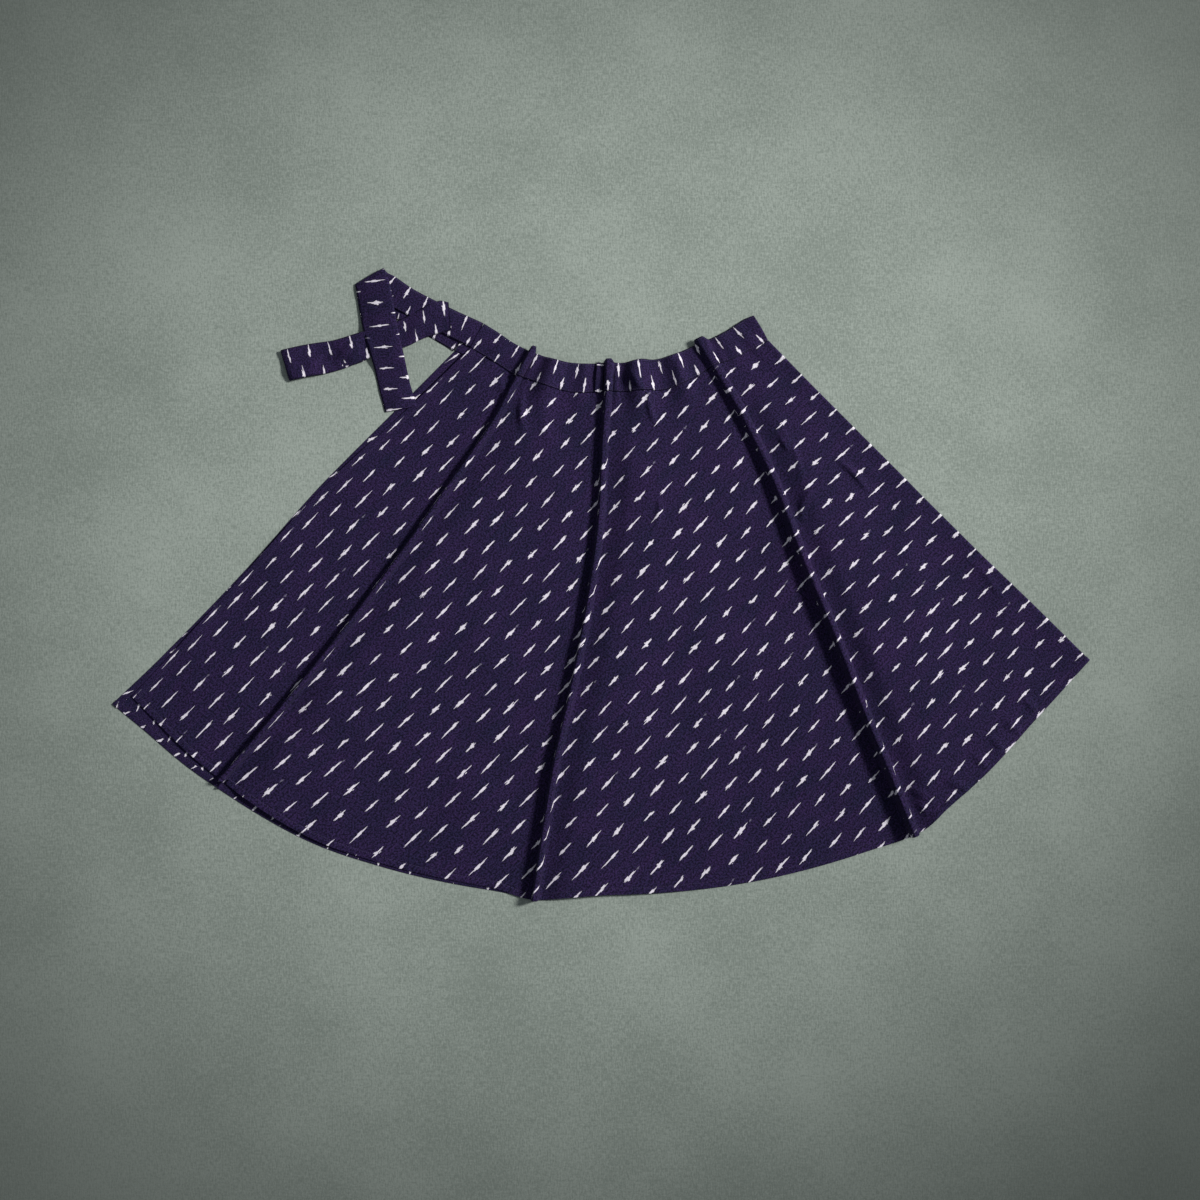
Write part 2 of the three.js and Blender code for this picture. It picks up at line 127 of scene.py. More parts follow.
# How far each long fold wanders from its even course, in degrees round the apex.
COURSE = "fall sway"
SWAY_1 = rows(
    COURSE,
    *((-1, 1.7), (0, 1.6), (0.09, 1.95), (0.25, 0.95)),
    *((0.41, 0.62), (0.57, 0.45), (0.73, 0.36), (1, 0.46)),
)
SWAY_2 = rows(
    COURSE,
    *((-1, 0), (0, 0.3), (0.09, 0.4), (0.25, 1.1)),
    *((0.41, 0.9), (0.57, 0.45), (0.73, 0), (1, 0.4)),
)
SWAY_3 = rows(
    COURSE,
    *((-1, 0), (0, 0.4), (0.09, 0.7), (0.25, 0.35), (0.41, -0.75)),
    *((0.57, -0.9), (0.73, -1.0), (0.89, -0.7), (1, -0.5)),
)
# The three long folds. Azimuth and height are given at the waist, the middle and the hem.
# left and right are the fold's widths, and spread is how much wider it gets on the band.
# lean is its lean to the left as a share of its height, and tip how far it stands up past
# the band. Beyond it the cloth dips, then rises to loose.
FOLDS = rows(
    "azimuth height left right spread lean tip loose sway",
    ((-28.6, -31.2, -34.1), (10.5, 12, 13), 9, 7, 0.3, 0.35, 9, 5, SWAY_1),
    ((-1.6, -4.5, -6.6), (11, 14, 17), 10, 8.5, 0.7, 0.35, 5, 6, SWAY_2),
    ((30.5, 28.3, 25.9), (10, 19, 22), 16, 9, 0.9, 0.3, 7, 7, SWAY_3),
)
# A fold's rounded top: its share of the width on the right side, and how far it falls.
TOP_WIDTH, TOP_FALL = 0.55, 0.25
# A fold's tip stands up past the band's edge. It starts to fade out at this share of the
# fold's width, and takes this much more of the width to do so.
TIP_FROM, TIP_EASE = 0.45, 0.5
LOOSE_FROM, LOOSE_TO, LOOSE_END = 6, 42, 260  # mm beyond a fold's crest
LOOSE_EASE = 0.15  # share of the panel's length over which that swell sets in
LOOSE_TURN = 120  # mm from the side fold over which it dies out
CALM_TURN = 40  # mm beside the side fold with less relief
MM_A_DEGREE = 17  # mm round the apex to one degree, at the hem
# Where the front of the waist is gathered between the folds. A gather's near side is
# steep and its far side long.
GATHERS = rows(
    "azimuth near far height",
    (-36.5, 3.0, 4.0, 2.0),
    (-25.0, 2.0, 3.0, 1.6),
    (-19.6, 4.8, 5.2, 10.5),
    (-9.4, 2.6, 3.2, 2.6),
    (0.6, 1.4, 1.6, 1.6),
    (7.1, 4.8, 7.4, 10.8),
    (19.8, 4.6, 4.5, 6.0),
    (36.6, 3.0, 4.0, 2.0),
    (43.0, 2.6, 2.0, 1.6),
)
GATHER_REACH = 75  # how far they reach down from the seam
# What sets the two layers apart: their columns, and the back's lower waist and folds.
FRONT = {"edge": "frontEdge", "hem": "front", "drop": 0, "width": 1, "height": 1}
BACK = {"edge": "backEdge", "hem": "back", "drop": 1, "width": 0.5, "height": 0.35}

# The ties' courses: both edges, and the height of the middle of their wall.
SECTION = "leftX leftY rightX rightY height"
FRONT_TIE = rows(
    SECTION,
    (-194.2, 355.9, -174.5, 392.3, 3.4),
    (-237, 377.3, -225, 415.5, 3.4),
    (-297, 408, -279, 443, 3.4),
    (-335, 428.5, -307, 462, 3.2),
    (-361, 446, -320, 469, 3.0),
    (-367, 450.8, -323.4, 474.6, 5.6),
    (-366, 444, -319, 466, 9.0),
    (-362, 418, -312, 441, 9.4),
    (-355.5, 384, -306.5, 408, 9.6),
    (-346, 352, -299, 370, 8.8),
    (-338.5, 324.6, -292, 337, 5.4),
    (-331, 292, -284, 300, 4.6),
    (-322.5, 258.9, -273.6, 268.1, 4.4),
)
BACK_TIE = rows(
    SECTION,
    (-219.5, 350.5, -196.8, 386.5, 0.8),
    (-256, 372, -234, 408, 0.8),
    (-292, 394, -277, 428, 0.8),
    (-312, 398, -309, 432, 0.8),
    (-322, 392, -338, 414, 0.8),
    (-330, 366, -353, 384, 0.8),
    (-350, 338, -362, 368, 0.8),
    (-390, 325, -397, 359, 0.8),
    (-430, 317, -439, 352, 0.8),
    (-455, 311, -466, 348, 1.2),
    (-465, 306, -478.5, 351, 5.2),
    (-457, 307, -470, 353.5, 8.4),
    (-436, 312, -447, 359, 5.4),
    (-413, 316, -421, 363.5, 3.6),
    (-384, 324, -398, 367, 4.0),
    (-352, 337, -361, 378, 5.4),
    (-322, 350, -330, 388, 5.6),
    (-292, 356, -300, 397, 5.6),
    (-262, 370, -268, 414, 5.6),
    (-236, 378, -241, 426, 5.6),
    (-223, 381, -227, 424, 5.6),
)
# How far the left edge of the first tie hangs down where nothing lies below it.
FRONT_DROOP = rows(
    "run droop",
    (0, 0),
    (176, 0),
    (192, 5.6),
    (236, 6.2),
    (264, 1.5),
    (306, 1.5),
    (330, 3.4),
    (390, 3.6),
)
# How the dashes lie on each tie: the distance of the full ones' middles from the left
# edge, the run at which one of them lies, and how they slant to the tie.
PRINT = "run centre start slant"
FRONT_PRINT = rows(
    PRINT,
    (0, 34, 24, 0),
    (183, 34, 24, 0),
    (187, 27, 5, 0.4),
    (250, 21, 5, 0.4),
    (290, 18, 5, 0.3),
    (321, 15, 5, 0.22),
    (357, 12, 5, 0.1),
    (390, 10, 5, 0.1),
)
BACK_PRINT = rows(
    PRINT,
    (0, 31, 20, 0),
    (308, 31, 20, 0),
    (314, 31, 4, 0),
    (430, 31, 4, 0),
    (470, 31, 20, 0),
    (600, 31, 20, 0),
)
LOOP_AZIMUTH = -4.5
LOOP_WIDTH = 12
LOOP_LENGTH = 44
LOOP_STRETCH = 3.2  # its dashes are that much shorter
LOOP_DASH = 3.0  # from each end of the loop to its dash

# ---- curves ----


def read(table, key, at, column):
    """The values of one column of a table, smoothly between the rows."""
    xs = np.array([row[key] for row in table], float)
    ys = np.array([row[column] for row in table], float)
    k = np.arange(len(xs))
    before, after = np.maximum(k - 1, 0), np.minimum(k + 1, len(xs) - 1)
    slopes = (ys[after] - ys[before]) / (xs[after] - xs[before])
    at = np.clip(np.asarray(at, float), xs[0], xs[-1])
    i = np.clip(np.searchsorted(xs, at, side="right") - 1, 0, len(xs) - 2)
    step = xs[i + 1] - xs[i]
    t = (at - xs[i]) / step
    rise = ys[i + 1] - ys[i]
    a = slopes[i] * step - rise
    b = rise - slopes[i + 1] * step
    return ys[i] + rise * t + t * (1 - t) * (a * (1 - t) + b * t)


def along(values, fall):
    """The value at a fall, from those at the waist, the middle and the hem."""
    waist, middle, hem = values
    t = np.maximum(0, fall)
    return waist + (hem - waist) * t + (4 * middle - 2 * waist - 2 * hem) * t * (1 - t)


def bell(place):
    return np.where(np.abs(place) < 1, 0.5 + 0.5 * np.cos(np.pi * np.asarray(place)), 0)


def fade(distance, reach):
    return np.maximum(0, 1 - distance / reach) ** 2


def smooth(t):
    t = np.clip(t, 0, 1)
    return t * t * (3 - 2 * t)


def run_of(points):
    """How far each point lies from the first one, along the points."""
    steps = np.linalg.norm(np.diff(points, axis=0), axis=-1)
    return np.concatenate([np.zeros_like(steps[:1]), np.cumsum(steps, axis=0)])


def plan(azimuth, radius):
    """The place on the floor of a point given round the apex."""
    a = np.radians(azimuth)
    x = APEX[0] - MIDDLE[0] + radius * np.sin(a)
    y = APEX[1] - MIDDLE[1] - radius * np.cos(a)
    return x, y


# ---- relief: soft swells, creases and puckers ----

# Each crease runs from one place to another, bowed sideways in between. depth is
# above zero for a ridge and below it for a trough.
CREASES = rows(
    "x1 y1 x2 y2 bow width depth",
    (-118, 285, -113, 224, -4, 4.5, 5.0),
    (-158, 310, -141, 280, 2, 5, 3.2),
    (-86, 276, -72, 205, -6, 8, 1.8),
    (72, 289, 85, 236, -5, 4.5, 4.2),
    (88, 130, 78, 84, 4, 4.5, 3.4),
    (353, 187, 401, 138, 3, 4.5, 4.6),
    (366, 188, 412, 141, 3, 6, -0.8),
    (264, 223, 282, 195, 2, 4.5, 3.4),
    (316, 143, 300, 94, -5, 4.5, 4.4),
    (268, 232, 300, 150, 8, 4.5, 2.2),
    (545, 42, 602, -25, 6, 4.5, 3.6),
    (556, 44, 612, -22, 6, 6, -0.8),
    (514, -296, 550, -309, 3, 5, 5.6),
    (602, -206, 628, -223, 2, 5, 5.0),
    (460, -309, 490, -322, 3, 5, 5.2),
    (470, -325, 490, -346, 2, 5, 4.4),
    (556, -258, 580, -277, 2, 5, 4.2),
    (500, -322, 512, -334, 1, 4, -1.8),
    (582, -231, 603, -250, 2, 5, 3.8),
    (630, -170, 653, -194, 2, 5, 3.8),
    (-200, 60, -150, -60, 8, 12, 0.8),
    (-330, -180, -300, -290, -8, 12, 0.7),
    (60, 60, 90, -70, 8, 14, 0.8),
    (210, -60, 240, -190, -8, 14, 0.7),
    (440, 60, 500, -40, 6, 12, 0.7),
    (-560, -140, -520, -210, 6, 12, 0.6),
    (20, -260, 10, -350, 6, 14, 0.7),
    (300, -300, 330, -380, 6, 12, 0.7),
)
# The waistband's creases, between its gathers.
BAND_CREASES = rows(
    "x1 y1 x2 y2 bow width depth",
    (41, 324, 68, 286, -2, 5, 4.0),
    (-174, 342, -158, 310, 1, 5, 2.6),
    (-62, 318, -58, 290, 2, 5, 1.8),
    (116, 336, 122, 300, -2, 5, 2.0),
    (172, 352, 192, 320, 2, 6, 2.0),
)
# The back tie's creases, on its upper run left of the front tie.
TIE_CREASES = rows(
    "x1 y1 x2 y2 bow width depth",
    (-400, 328, -362, 366, 2, 4.5, 3.0),
    (-442, 322, -408, 358, -2, 4.5, 2.6),
    (-418, 318, -396, 348, 1, 4.0, 1.8),
    (-384, 332, -356, 352, -1, 4.0, 2.2),
    (-470, 330, -446, 352, 2, 4.0, 1.4),
)
# The back layer's own creases, which show from below.
BACK_CREASES = rows(
    "x1 y1 x2 y2 bow width depth",
    (-150, 200, -180, 90, 8, 8, 1.2),
    (120, 210, 150, 60, -8, 9, 1.2),
    (300, 150, 380, 40, 8, 8, 1.1),
    (-320, -60, -380, -160, 8, 8, 1.1),
    (60, -120, 40, -260, 8, 9, 1.2),
    (-120, -240, -140, -360, 6, 8, 1.0),
    (430, -160, 470, -240, 6, 8, 1.2),
    (250, -250, 270, -370, 6, 8, 1.0),
)
SWELL_LENGTHS = (60, 200)  # the shortest and longest wave of the soft swells
SWELLS = 26
SWELL_HEIGHT = 0.6


def crease_relief(table, x, y):
    """How far the creases of a table lift the cloth at each point."""
    lift = np.zeros_like(x)
    for c in table:
        dx, dy = c["x2"] - c["x1"], c["y2"] - c["y1"]
        length = math.hypot(dx, dy)
        t = ((x - c["x1"]) * dx + (y - c["y1"]) * dy) / length**2
        side = ((y - c["y1"]) * dx - (x - c["x1"]) * dy) / length
        side = side - c["bow"] * 4 * t * (1 - t)
        ends = np.clip(np.sin(np.pi * np.clip(t, 0, 1)), 0, 1) ** 0.8
        lift += c["depth"] * ends * np.exp(-((side / c["width"]) ** 2))
    return lift


def swell_relief(x, y):
    """Low waves in every direction, as cloth keeps when it is only smoothed by hand."""
    lift = np.zeros_like(x)
    for _ in range(SWELLS):
        wave = rng.uniform(*SWELL_LENGTHS)
        angle, phase = rng.uniform(0, 2 * np.pi, 2)
        k = 2 * np.pi / wave
        turn = x * math.cos(angle) + y * math.sin(angle)
        lift += np.sin(k * turn + phase) * wave / SWELL_LENGTHS[1]
    return lift * SWELL_HEIGHT / math.sqrt(SWELLS / 8)


# ---- the two layers ----

EDGE_CROWDING = 1.6  # how much closer the lines lie at the opening's edge
SEAM_GAP = 0.15  # from the seam to the band's lower edge


def down_lines(plain_steps, fold_steps):
    """The lines from waist to hem, as (fold or None, region, place or share)."""
    lines = []
    for region, steps in enumerate(plain_steps):
        first = 0 if region == 0 else 1
        last = steps if region == len(plain_steps) - 1 else steps - 1
        crowding = EDGE_CROWDING if region == 0 else 1
        lines += [(None, region, (k / steps) ** crowding) for k in range(first, last + 1)]
        if region < len(FOLDS):
            places = np.linspace(-1, 1, fold_steps)
            lines += [(FOLDS[region], region, p) for p in places]
    return lines


def section(place):
    """A fold's height: even on its left side, a rounded top and a steep fall on its right."""
    place = np.asarray(place, float)
    fallen = smooth((place - TOP_WIDTH) / (1 - TOP_WIDTH))
    return np.where(place < 0, bell(place), (1 - TOP_FALL * place**2) * (1 - fallen))


def course_of(fold, falls):
    """The azimuth of a fold's foot."""
    return along(fold["azimuth"], falls) + read(fold["sway"], "fall", falls, "sway")


def fold_point(fold, place, fall, layer):
    """The azimuth and the height of a place across a fold, from -1 to 1."""
    crest = along(fold["height"], fall) * layer["height"]
    rise = crest * section(place / layer["width"])
    opened = 1 + fold["spread"] * np.maximum(0, -fall)
    width = fold["left"] if place < 0 else fold["right"] * opened
    offset = place * width - fold["lean"] * (rise if place < 0 else crest)
    return course_of(fold, fall) + np.degrees(offset / along(REACH, fall)), rise


def line_points(line, falls, layer, ends):
    """(azimuth, rise, tip) down one line."""
    fold, region, place = line
    none = np.zeros_like(falls)
    if fold:
        azimuth, rise = fold_point(fold, place, falls, layer)
        blunt = 1 - smooth((abs(place) / layer["width"] - TIP_FROM) / TIP_EASE)
        return azimuth, rise, none + fold["tip"] * blunt
    if region == 0:
        start = read(ends, "fall", falls, layer["edge"])
    else:
        start = fold_point(FOLDS[region - 1], 1, falls, layer)[0]
    if region == len(FOLDS):
        stop = read(ends, "fall", falls, "sideFold")
    else:
        stop = fold_point(FOLDS[region], -1, falls, layer)[0]
    return start + (stop - start) * place, none, none


def spacing(falls, from_fold, swell):
    """How far the front layer lies above the back one."""
    ease = np.clip(falls * PANEL_LENGTH / WAIST_EASE, 0, 1)
    apart = (BAND + LAY) + (CLOTH - BAND) * ease
    return apart + swell * fade(from_fold, FOLD_REACH)


def gathered(azimuth, falls):
    """How far the waist's gathers lift the front layer."""
    below = np.maximum(0, falls) * PANEL_LENGTH
    lift = 0
    for g in GATHERS:
        off = azimuth - g["azimuth"]
        lift = lift + g["height"] * bell(off / np.where(off < 0, g["near"], g["far"]))
    return lift * fade(below, GATHER_REACH)


def loosened(azimuth, falls, radius):
    """The low swell to the right of each fold, where the cloth lies loose."""
    lift = 0
    for fold in FOLDS:
        beyond = radius * np.radians(azimuth - course_of(fold, falls))
        up = smooth((beyond - LOOSE_FROM) / (LOOSE_TO - LOOSE_FROM))
        down = smooth((beyond - LOOSE_TO) / (LOOSE_END - LOOSE_TO))
        lift = lift + fold["loose"] * up * (1 - down)
    return lift * smooth(falls / LOOSE_EASE)


def layer_grid(layer, lines, falls, radius_at, thickness, ends, swell, puff, relief):
    """The layer's points and azimuths, line by line from the opening to the side fold."""
    points, azimuths = [], []
    turn = read(ends, "fall", falls, "sideFold")
    for line in lines:
        azimuth, rise, tip = line_points(line, falls, layer, ends)
        radius = radius_at(azimuth, falls, layer) - tip * np.maximum(0, -falls)
        x, y = plan(azimuth, radius)
        z = thickness / 2 + rise
        if layer is FRONT:
            from_fold = radius * np.radians(np.maximum(0, turn - azimuth))
            z = z + spacing(falls, from_fold, swell) + puff(falls)
            z = z + gathered(azimuth, falls)
            z = z + loosened(azimuth, falls, radius) * smooth(from_fold / LOOSE_TURN)
        points.append(np.stack([x, y, z], -1))
        azimuths.append(azimuth)
    points, azimuths = np.array(points), np.array(azimuths)
    calm = smooth((turn - azimuths) * MM_A_DEGREE / CALM_TURN) if layer is FRONT else 1
    points[..., 2] += relief(points[..., 0], points[..., 1]) * calm
    return points, azimuths


TURN_ANGLES = np.linspace(15, 165, 9)


def turned(over, under, ends, falls):
    """The lines round the side fold, from the front layer down to the back layer."""
    a = np.radians(read(ends, "fall", falls, "sideFold"))
    outwards = np.stack([np.cos(a), np.sin(a), np.zeros_like(a)], -1)
    half = (over[:, 2] - under[:, 2])[:, None] / 2
    lines = []
    for angle in np.radians(TURN_ANGLES):
        line = (over + under) / 2 + outwards * half * math.sin(angle)
        line[:, 2] += half[:, 0] * math.cos(angle)
        lines.append(line)
    return np.array(lines)


def both_layers(lines, falls, form, reliefs):
    """The front layer, the turn at the side fold and the back layer as one grid. With it
    come the front layer, its azimuths and the back's, as they are when it is unfolded."""
    ends = form[2]
    front, azimuths = layer_grid(FRONT, lines[0], falls, *form, reliefs[0])
    back, back_azimuths = layer_grid(BACK, lines[1], falls, *form, reliefs[1])
    turn = turned(front[-1], back[-1], ends, falls)
    unfolded = 2 * read(ends, "fall", falls, "sideFold") - back_azimuths[::-1]
    return np.concatenate([front, turn, back[::-1]]), front, azimuths, unfolded


def seam_radius(azimuth, layer):
    drop = read(WAIST, "azimuth", azimuth, "drop")
    return read(WAIST, "azimuth", azimuth, "seam") + layer["drop"] * drop


def skirt_radius(azimuth, falls, layer):
    start = seam_radius(azimuth, layer)
    return start + (read(HEM, "azimuth", azimuth, layer["hem"]) - start) * falls


def band_radius(azimuth, falls, layer):
    drop = read(WAIST, "azimuth", azimuth, "drop")
    end = seam_radius(azimuth, layer) - SEAM_GAP
    top = read(WAIST, "azimuth", azimuth, "top") + layer["drop"] * drop
    return end + (top - end) * -falls


def normals(grid):
    """The direction outwards at each point of a grid."""
    return unit(np.cross(np.gradient(grid, axis=1), np.gradient(grid, axis=0)))


def unit(v):
    return v / np.maximum(np.linalg.norm(v, axis=-1, keepdims=True), 1e-9)


# ---- the chart of the pattern ----

# The dashes stand on a lattice: along its length one follows another at ALONG,
# rows lie ACROSS / 2 apart, and every second row is shifted by half of ALONG.
ALONG = 79.0
ACROSS = 38.4
# How that lattice lies in each stretch of the front layer between two folds: the
# place of one dash, the direction of the dashes from the +X axis, the two periods,
# and how the rows lean, stretch, bow and fan out over each 150 mm from there.
CHART = rows(
    "x y turn along across lean tilt stretch bow arch fan",
    (-412.5, 69.5, 45.8, 80.4, 35.1, -4.7, 0.1, 2.0, -8.3, -0.1, -1.2),
    (-221.5, -107.0, 44.7, 80.1, 38.4, -5.3, 0.6, 2.0, 0.3, 1.5, 1.3),
    (167.2, -124.5, 47.9, 75.5, 38.7, 0.3, 1.1, 1.9, -0.4, 0.6, 1.4),
    (445.5, 16.0, 45.8, 69.4, 37.5, 0.5, -1.3, 3.1, -0.3, -2.2, 1.6),
)
CHART_STEP = 150.0
CHART_UNIT = 1.5  # mm in one unit of lean, tilt, stretch, bow, arch and fan
# On a fold's dark left side the pattern of the cloth before it gives way to that of the
# cloth beyond it, between these two places across the fold.
PRINT_LEAVES, PRINT_JOINS = -0.62, -0.46
# By the opening the rows crowd together: over how many mm, and by how many at most.
EDGE_REACH, EDGE_SQUEEZE = 30, 16


def charted(row, x, y):
    """The place in the pattern of points on the floor, in the lattice's own periods."""
    a = math.radians(row["turn"])
    u = ((x - row["x"]) * math.cos(a) + (y - row["y"]) * math.sin(a)) / CHART_STEP
    v = ((x - row["x"]) * math.sin(a) - (y - row["y"]) * math.cos(a)) / CHART_STEP
    more_u = row["lean"] * v + row["bow"] * v * v + row["stretch"] * u * u
    more_v = row["tilt"] * u + row["arch"] * u * u + row["fan"] * u * v
    s = (u * CHART_STEP + CHART_UNIT * more_u) / row["along"]
    t = (v * CHART_STEP + CHART_UNIT * more_v) / row["across"]
    return np.stack([s * ALONG, t * ACROSS], -1)


def lattice_shift(wanted):
    """The whole step of the lattice that is nearest to the wanted one."""
    s, t = wanted[0] / ALONG, wanted[1] / ACROSS
    i, j = round(s + t), round(s - t)
    return np.array([(i + j) / 2 * ALONG, (i - j) / 2 * ACROSS])


def fold_lines(lines, fold):
    """The numbers of a fold's first line and of the line after its last one."""
    own = [i for i, line in enumerate(lines) if line[0] is fold]
    return own[0], own[-1] + 1


def chart_shifts(lines, points):
    """How far the lattice of each stretch is moved, so that it runs on over the folds."""
    shifts = [np.zeros(2)]
    half = points.shape[1] // 2
    for region, fold in enumerate(FOLDS):
        first, end = fold_lines(lines, fold)
        middle = points[first:end, half]
        gap = middle[-1, :2] - middle[0, :2]
        width = np.linalg.norm(gap)
        dx, dy = gap / width * (run_of(middle)[-1] - width)
        a = math.radians(CHART[region]["turn"])
        more = [dx * math.cos(a) + dy * math.sin(a), dx * math.sin(a) - dy * math.cos(a)]
        here = charted(CHART[region], *middle[-1, :2]) + shifts[-1] + more
        there = charted(CHART[region + 1], *middle[-1, :2])
        shifts.append(lattice_shift(here - there))
    return shifts


def fold_chart(region, sheet, places, shifts):
    """The pattern over one fold, which comes in from both sides."""
    left, right = sheet[0, :, :2], sheet[-1, :, :2]
    way = unit(right - left)
    run = run_of(sheet)
    from_left = left + way * run[..., None]
    from_right = right - way * (run[-1] - run)[..., None]
    before = charted(CHART[region], from_left[..., 0], from_left[..., 1])
    after = charted(CHART[region + 1], from_right[..., 0], from_right[..., 1])
    t = smooth((places - PRINT_LEAVES) / (PRINT_JOINS - PRINT_LEAVES))[:, None, None]
    return (before + shifts[region]) * (1 - t) + (after + shifts[region + 1]) * t


def front_chart(lines, points):
    """The pattern over the front layer, and how far its last stretch is moved."""
    shifts = chart_shifts(lines, points)
    chart = np.zeros(points.shape[:2] + (2,))
    for i, (fold, region, _) in enumerate(lines):
        if fold is None:
            x, y = points[i, :, 0], points[i, :, 1]
            chart[i] = charted(CHART[region], x, y) + shifts[region]
    from_edge = np.linalg.norm(points[..., :2] - points[:1, :, :2], axis=-1)
    chart[..., 1] -= EDGE_SQUEEZE * fade(np.minimum(from_edge, EDGE_REACH), EDGE_REACH)
    for region, fold in enumerate(FOLDS):
        first, end = fold_lines(lines, fold)
        places = np.array([line[2] for line in lines[first:end]])
        chart[first:end] = fold_chart(region, points[first:end], places, shifts)
    return chart, shifts[-1]


# ---- meshes ----


def grid_faces(lines, places, first=0):
    i, j = np.meshgrid(np.arange(lines - 1), np.arange(places - 1), indexing="ij")
    a = first + i * places + j
    quads = np.stack([a, a + 1, a + places + 1, a + places], -1)
    return quads.reshape(-1, 4)


def add_to_scene(name, data):
    thing = bpy.data.objects.new(name, data)
    bpy.context.scene.collection.objects.link(thing)
    return thing


def make_mesh(name, points, faces, chart, material):
    """An object from points in millimetres, four-sided faces and pattern places."""
    mesh = bpy.data.meshes.new(name)
    mesh.vertices.add(len(points))
    above_floor = np.maximum(points, (-np.inf, -np.inf, 0))
    mesh.vertices.foreach_set("co", (above_floor * MM).ravel())
    mesh.loops.add(faces.size)
    mesh.loops.foreach_set("vertex_index", faces.ravel())
    mesh.polygons.add(len(faces))
    mesh.polygons.foreach_set("loop_start", np.arange(0, faces.size, 4))
    mesh.update(calc_edges=True)
    mesh.validate()
    mesh.polygons.foreach_set("use_smooth", np.full(len(mesh.polygons), True))
    if chart is not None:
        layer = mesh.uv_layers.new(name="cloth")
        corner = np.zeros(len(mesh.loops), int)
        mesh.loops.foreach_get("vertex_index", corner)
        layer.data.foreach_set("uv", (np.asarray(chart) * MM)[corner].ravel())
    mesh.materials.append(material)
    return add_to_scene(name, mesh)


ROLL = ((0.35, 0.12), (0.5, 0.5), (0.3, 0.9), (-0.3, 1.05), (-4.5, 1.1), (-9, 1.1))


def rolled(edge, inside, out):
    """Points that turn the cloth under at an edge: beyond it, round it and back."""
    away = unit(edge - inside)
    return [edge + far * away - down * out for far, down in ROLL]


def run_on(edge, inside, chart_edge, chart_inside):
    """The pattern's places along a rolled edge, run on from the cloth beside it."""
    apart = np.linalg.norm(edge - inside, axis=-1, keepdims=True)
    way = (chart_edge - chart_inside) / np.maximum(apart, 0.1)
    steps = np.hypot(*np.diff(np.array(((0, 0), *ROLL)), axis=0).T)
    return [chart_edge + way * run for run in np.cumsum(steps)]


def with_rolled_rim(grid, out, chart):
    """The grid with its hem and its two open sides turned under."""
    hem = rolled(grid[:, -1], grid[:, -2], out[:, -1])
    more = run_on(grid[:, -1], grid[:, -2], chart[:, -1], chart[:, -2])
    grid = np.concatenate([grid, np.stack(hem, 1)], 1)
    out = np.concatenate([out] + [out[:, -1:]] * len(ROLL), 1)
    chart = np.concatenate([chart, np.stack(more, 1)], 1)
    first = rolled(grid[0], grid[1], out[0])
    last = rolled(grid[-1], grid[-2], out[-1])
    head = run_on(grid[0], grid[1], chart[0], chart[1])
    tail = run_on(grid[-1], grid[-2], chart[-1], chart[-2])
    grid = np.concatenate([np.stack(first[::-1]), grid, np.stack(last)], 0)
    return grid, np.concatenate([np.stack(head[::-1]), chart, np.stack(tail)], 0)


EDGE_ROUND = 1.3  # width over which a doubled strip thins out at its folded edges


def shell(name, grid, thickness, chart, material, width):
    """A closed strip of doubled cloth round a grid, with round long edges."""
    out = normals(grid)
    lines, places = grid.shape[:2]
    share = np.linspace(0, 1, places)
    from_edge = np.minimum(share, 1 - share) * width / EDGE_ROUND
    full = np.sqrt(np.maximum(0, 1 - np.maximum(0, 1 - from_edge) ** 2))
    half = thickness / 2 * full[None, :, None]
    upper = grid + out * half
    lower = (grid - out * half)[:, ::-1][:, 1:-1]
    ring = np.concatenate([upper, lower], 1)
    uv = np.concatenate([chart, chart[:, ::-1][:, 1:-1]], 1)
    around = ring.shape[1]
    ring = np.concatenate([ring, ring[:, :1]], 1)
    uv = np.concatenate([uv, uv[:, :1]], 1)
    faces = grid_faces(lines, around + 1)
    i = faces // (around + 1) * around
    j = faces % (around + 1) % around
    points = ring[:, :-1].reshape(-1, 3)
    k = np.arange(1, places - 2)
    cap = np.stack([k, k + 1, around - k - 1, around - k], -1)
    other = (cap + (lines - 1) * around)[:, ::-1]
    faces = np.concatenate([i + j, cap, other])
    return make_mesh(name, points, faces, uv[:, :-1].reshape(-1, 2), material)


# ---- materials ----

NAVY = (0.0135, 0.0125, 0.0410)
PURPLE = (0.0300, 0.0150, 0.0640)
SHADE = (0.0080, 0.0072, 0.0220)
PALE = (0.955, 0.900, 1.0)
GREYED = (0.30, 0.28, 0.37)
SHEEN = (0.75, 0.70, 0.95, 1.0)
THREAD_DARK = (0.030, 0.022, 0.060)
THREAD_LIGHT = (0.060, 0.045, 0.105)
FLOOR_DARK = (0.232, 0.274, 0.242)
FLOOR_LIGHT = (0.382, 0.436, 0.392)
FLOOR_PAINTED_SHADE = (0.100, 0.114, 0.104)


